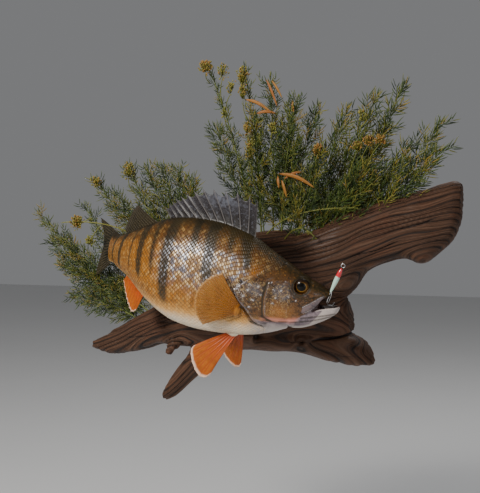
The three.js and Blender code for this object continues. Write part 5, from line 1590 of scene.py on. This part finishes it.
print("flower heads:", sum(len(heads) for heads in HEADS.values()))

# %% The stands in place
plant_piece("upper_sprays", stand("upper", 2) + flowers("upper"), numbered("upper", 5))
plant_piece("right_sprays", stand("right") + flowers("right"), [f"plant_upper_{k}" for k in range(6, 10)])
plant_piece("left_sprays", stand("left") + flowers("left"), numbered("left", 4))
plant_piece("lower_sprays", stand("lower"), numbered("lower", 3))

# %% The lone flower and the two stems in front
flower_stem = [stalk(along_stem(STEMS["flower"][0], t)[0], 0.85, 0.5, 0.8) + (6, 1.0)]
plant_piece("flower_stem", flower_stem + flowers("flower"), ["flower_stem_1"])
front = [stalk(along_stem(stem, t)[0], 0.85, 0.35, 0.72) + (6, 1.0) for stem in STEMS["front"]]
for stem in STEMS["front"]:
    branches, needles = spray(stem, 0.45, 7, 10, 0.9, 4.5, 2.6, 0.7, 0.6, 0.5)
    front += [branches, needles + (3, 0.4)]
plant_piece("front_stems", front, ["front_stem_1", "front_stem_2"])

# %% Broad blades and a tendril
# The few broad blades are willow leaves that dried orange. Each: root, tip, half width, in mm.
BLADES = [([-21, -58, 167], [10, -60, 152], 2.0), ([2, -58, 188], [15, -58, 157], 1.6),
          ([-8, -60, 152], [14, -58, 152], 1.8), ([7, -56, 187], [20, -58, 167], 1.5),
          ([30, -56, 167], [32, -58, 152], 1.6), ([18, -70, 90], [60, -72, 74], 2.4),
          ([18, -70, 88], [20, -72, 74], 1.7), ([22, -70, 84], [28, -70, 64], 1.8),
          ([24, -70, 84], [44, -68, 92], 1.5)]
root, tip, wide = (np.array(v, float) for v in zip(*BLADES))
u = np.linspace(0, 1, 9)[None, :, None]
sag = np.stack([0 * wide, -2.0 + 0 * wide, 0.10 * np.linalg.norm(tip - root, axis=1)], -1)[:, None]
blades = mix(root[:, None], tip[:, None], u) + np.sin(math.pi * u) * sag
half_width = wide[:, None] * np.sin(math.pi * u[0, 1:-1, 0])[None] ** 0.7
blade_tint = 1.25 + 0.1 * rng.normal(0, 1, len(wide))
# The tendril is a loop that tightens as it turns.
turn = np.linspace(0.3, 2.2 * math.pi, 40)
curl = 9.5 - 0.4 * turn
loop = np.array([-126, -50, 58]) + np.stack([curl * np.cos(turn), -0.5 * turn, curl * np.sin(turn)], -1)
plant_piece("broad_blades", [(blades, half_width, blade_tint, 6, 0.22),
                             stalk(loop, 0.45, 0.3, 0.75) + (5, 1.0)], [])

# %% [markdown]
# ## The jig
# An ice-fishing jig hangs from the fish's lip: a drop of lead, painted pale green with a red head, on a hook
# bent from steel wire. The bodies are profiles turned on a lathe, the wires are tubes along curves.

# %% Turned bodies and bent wires
JIG_TOP, JIG_BOTTOM = np.array([103.0, -147, 0]), np.array([91.5, -146, -24])
JIG_RADIUS, JIG_HEAD_SHARE = 2.4, 0.34
jig_length = np.linalg.norm(JIG_TOP - JIG_BOTTOM)
jig_axis = (JIG_TOP - JIG_BOTTOM) / jig_length
jig_side = unit(np.cross(jig_axis, [0, 1, 0]))
jig_front = np.cross(jig_axis, jig_side)


def turned(profile):
    """A lathe shape on the jig's axis from [distance along, radius] points joined by a smooth curve."""
    y = np.array([p[0] for p in profile], float)
    fine = np.interp(np.linspace(0, len(y) - 1, 12 * len(y)), np.arange(len(y)), y)[:, None, None]
    radius = curve(*profile)(fine)
    turn = np.linspace(0, 2 * math.pi, 40, endpoint=False)[None, :, None]
    return tube(JIG_BOTTOM + jig_axis * fine + radius * (jig_side * np.cos(turn) + jig_front * np.sin(turn)))


def wire(path, radius):
    """A tube along a path of points in mm, on the axis that the path runs along the least."""
    ahead = unit(np.gradient(path, axis=0))
    return rope(path, radius, 10, np.eye(3)[np.abs(ahead).mean(0).argmin()])


def through(points, count):
    """A smooth path through points, each coordinate a curve over the point's number."""
    points = np.array(points, float)
    t = np.linspace(0, len(points) - 1, count)
    return np.stack([curve(*np.stack([np.arange(len(points)), column], -1))(t) for column in points.T], -1)


def enamel(name, colour, worn):
    """Glossy paint with small worn chips."""
    paint = Paint(name, Roughness=0.3, Coat_Weight=0.9, Coat_Roughness=0.06)
    chips = paint.noise(700, 4, 0.7)
    paint.set("Base Color", paint.over(colour, worn, paint.ramp(chips, 0.60, 0.72, 0, 0.7)))
    paint.bump(paint.noise(350, 2), 0.0002, 0.4)
    return paint.material


steel = Paint("bright steel", Metallic=1.0, Roughness=0.3)
clouds = steel.ramp(steel.noise(500, 3), 0.4, 0.6)
steel.set("Base Color", steel.over((0.52, 0.53, 0.54), (0.74, 0.74, 0.73), clouds))
brushing = steel.noise(900, 2, 0.6, steel.place((0.15, 1, 1)))
steel.set("Roughness", steel.ramp(brushing, 0.35, 0.65, 0.2, 0.42))
print("nodes in the steel:", len(steel.tree.nodes))

# %% Lead, line ring and hook
neck = jig_length * (1 - JIG_HEAD_SHARE)
drop = turned([[0, 0.3], [0.4, 0.75], [0.35 * neck, 1.7], [0.75 * neck, JIG_RADIUS], [neck - 0.3, 2.3]])
cap = turned([[neck, 2.3], [neck + 0.6, JIG_RADIUS], [neck + 4, 2.2], [jig_length - 0.9, 1.15],
              [jig_length, 0.3]])
piece("jig_drop", drop[0] * MM, drop[1], enamel("pale green enamel", (0.50, 0.72, 0.58), (0.75, 0.80, 0.72)),
      None, ["jig_body"])
piece("jig_cap", cap[0] * MM, cap[1], enamel("red enamel", (0.62, 0.012, 0.02), (0.35, 0.01, 0.012)),
      None, ["jig_head"])
RING_ABOVE, RING_RADIUS, RING_WIRE = 2.9, 1.9, 0.35
turn = np.linspace(0, 2 * math.pi, 49)[:-1, None]
middle = JIG_TOP + jig_axis * RING_ABOVE
ring_path = middle + RING_RADIUS * (jig_side * np.cos(turn) + jig_axis * np.sin(turn))
first, second = (ring_path - middle) / RING_RADIUS, jig_front + 0 * ring_path
around = np.linspace(0, 2 * math.pi, 12, endpoint=False)[None, :, None]
rings = first[:, None] * np.cos(around) + second[:, None] * np.sin(around)
points, faces = (ring_path[:, None] + RING_WIRE * rings).reshape(-1, 3), grid_faces(49, 12, True)
points, faces = facing_out(points, faces % len(points))
piece("jig_line_ring", points * MM, faces, steel.material, None, ["jig_ring"])
hook = through([[0.2, 0, 0.6], [-0.4, 0, -1], [-2, 0.5, -5], [-4, 2, -10], [-3.5, 5, -13],
                [0, 7, -13.5], [2.5, 7.5, -10.5]], 60)
point = np.interp(np.arange(60), [0, 48, 59], [0.45, 0.45, 0.12])
shank = through([[1.2, 0, 0.8], [0.9, -0.2, -2], [-0.6, 0.3, -6.5], [-2.6, 2.2, -10.5]], 24)
bend = join(wire(JIG_BOTTOM + hook, point), wire(JIG_BOTTOM + shank, 0.33))
piece("jig_wire", bend[0] * MM, bend[1], steel.material, None, ["jig_hook"])

# %% [markdown]
# ## Steel on the back
# The hanger plate, its screws and the rod that carries the fish keep their solids. They only need a metal:
# brushed steel, whose roughness is drawn out in one direction.

# %% Steel for the solids that stay
for name in ("hanger_plate", "hanger_screw_left", "hanger_screw_right", "mounting_rod"):
    materials = frame["nodes"][name].data.materials
    materials.clear()
    materials.append(steel.material)
    print("steel on", name)

# %% [markdown]
# ## Stage and light
# A pale floor lies below the mount, as if it hung on a clear wall over a table. One large soft lamp from the
# upper left in front gives the wet glints along the flank, a weaker one from the right fills the head, and
# the room is a soft pale grey.

# %% Floor, lamps and room
FLOOR_DROP = 0.19  # the floor lies this far under the mount

floor_z = cad_box[0][2] - FLOOR_DROP
corners = np.array([[-3, -3, floor_z], [3, -3, floor_z], [3, 3, floor_z], [-3, 3, floor_z]])
floor = bpy.data.objects.new("floor", mesh_of("floor", corners, np.array([[0, 1, 2, 3]])))
bpy.context.scene.collection.objects.link(floor)
paint = Paint("floor", Roughness=0.6)
paint.set("Base Color", paint.over((0.60, 0.60, 0.60), (0.64, 0.64, 0.64), paint.noise(3, 3)))
floor.data.materials.append(paint.material)


def lamp(name, place, power, size, colour=(1, 1, 1)):
    """A square soft lamp of a given size in metres, aimed at the middle of the fish."""
    lamp = bpy.data.objects.new(name, bpy.data.lights.new(name, "AREA"))
    lamp.data.energy, lamp.data.size, lamp.data.color = power, size, colour
    lamp.location = place
    lamp.rotation_euler = (Vector((0, -0.1, 0)) - lamp.location).to_track_quat("-Z", "Y").to_euler()
    bpy.context.scene.collection.objects.link(lamp)


lamp("key", (-0.7, -1.3, 0.8), 31, 0.4, (1.0, 0.97, 0.92))
lamp("fill", (1.3, -1.2, 0.1), 5, 0.9, (0.92, 0.96, 1.0))
lamp("rim", (0.3, 0.9, 1.2), 10, 0.6)
print("floor at", round(float(floor_z), 3), "m, lamps:", [light.name for light in bpy.data.lights])
world = bpy.data.worlds.new("room")
world.use_nodes = True
world.node_tree.nodes["Background"].inputs["Color"].default_value = (0.80, 0.81, 0.83, 1)
world.node_tree.nodes["Background"].inputs["Strength"].default_value = 0.24
bpy.context.scene.world = world
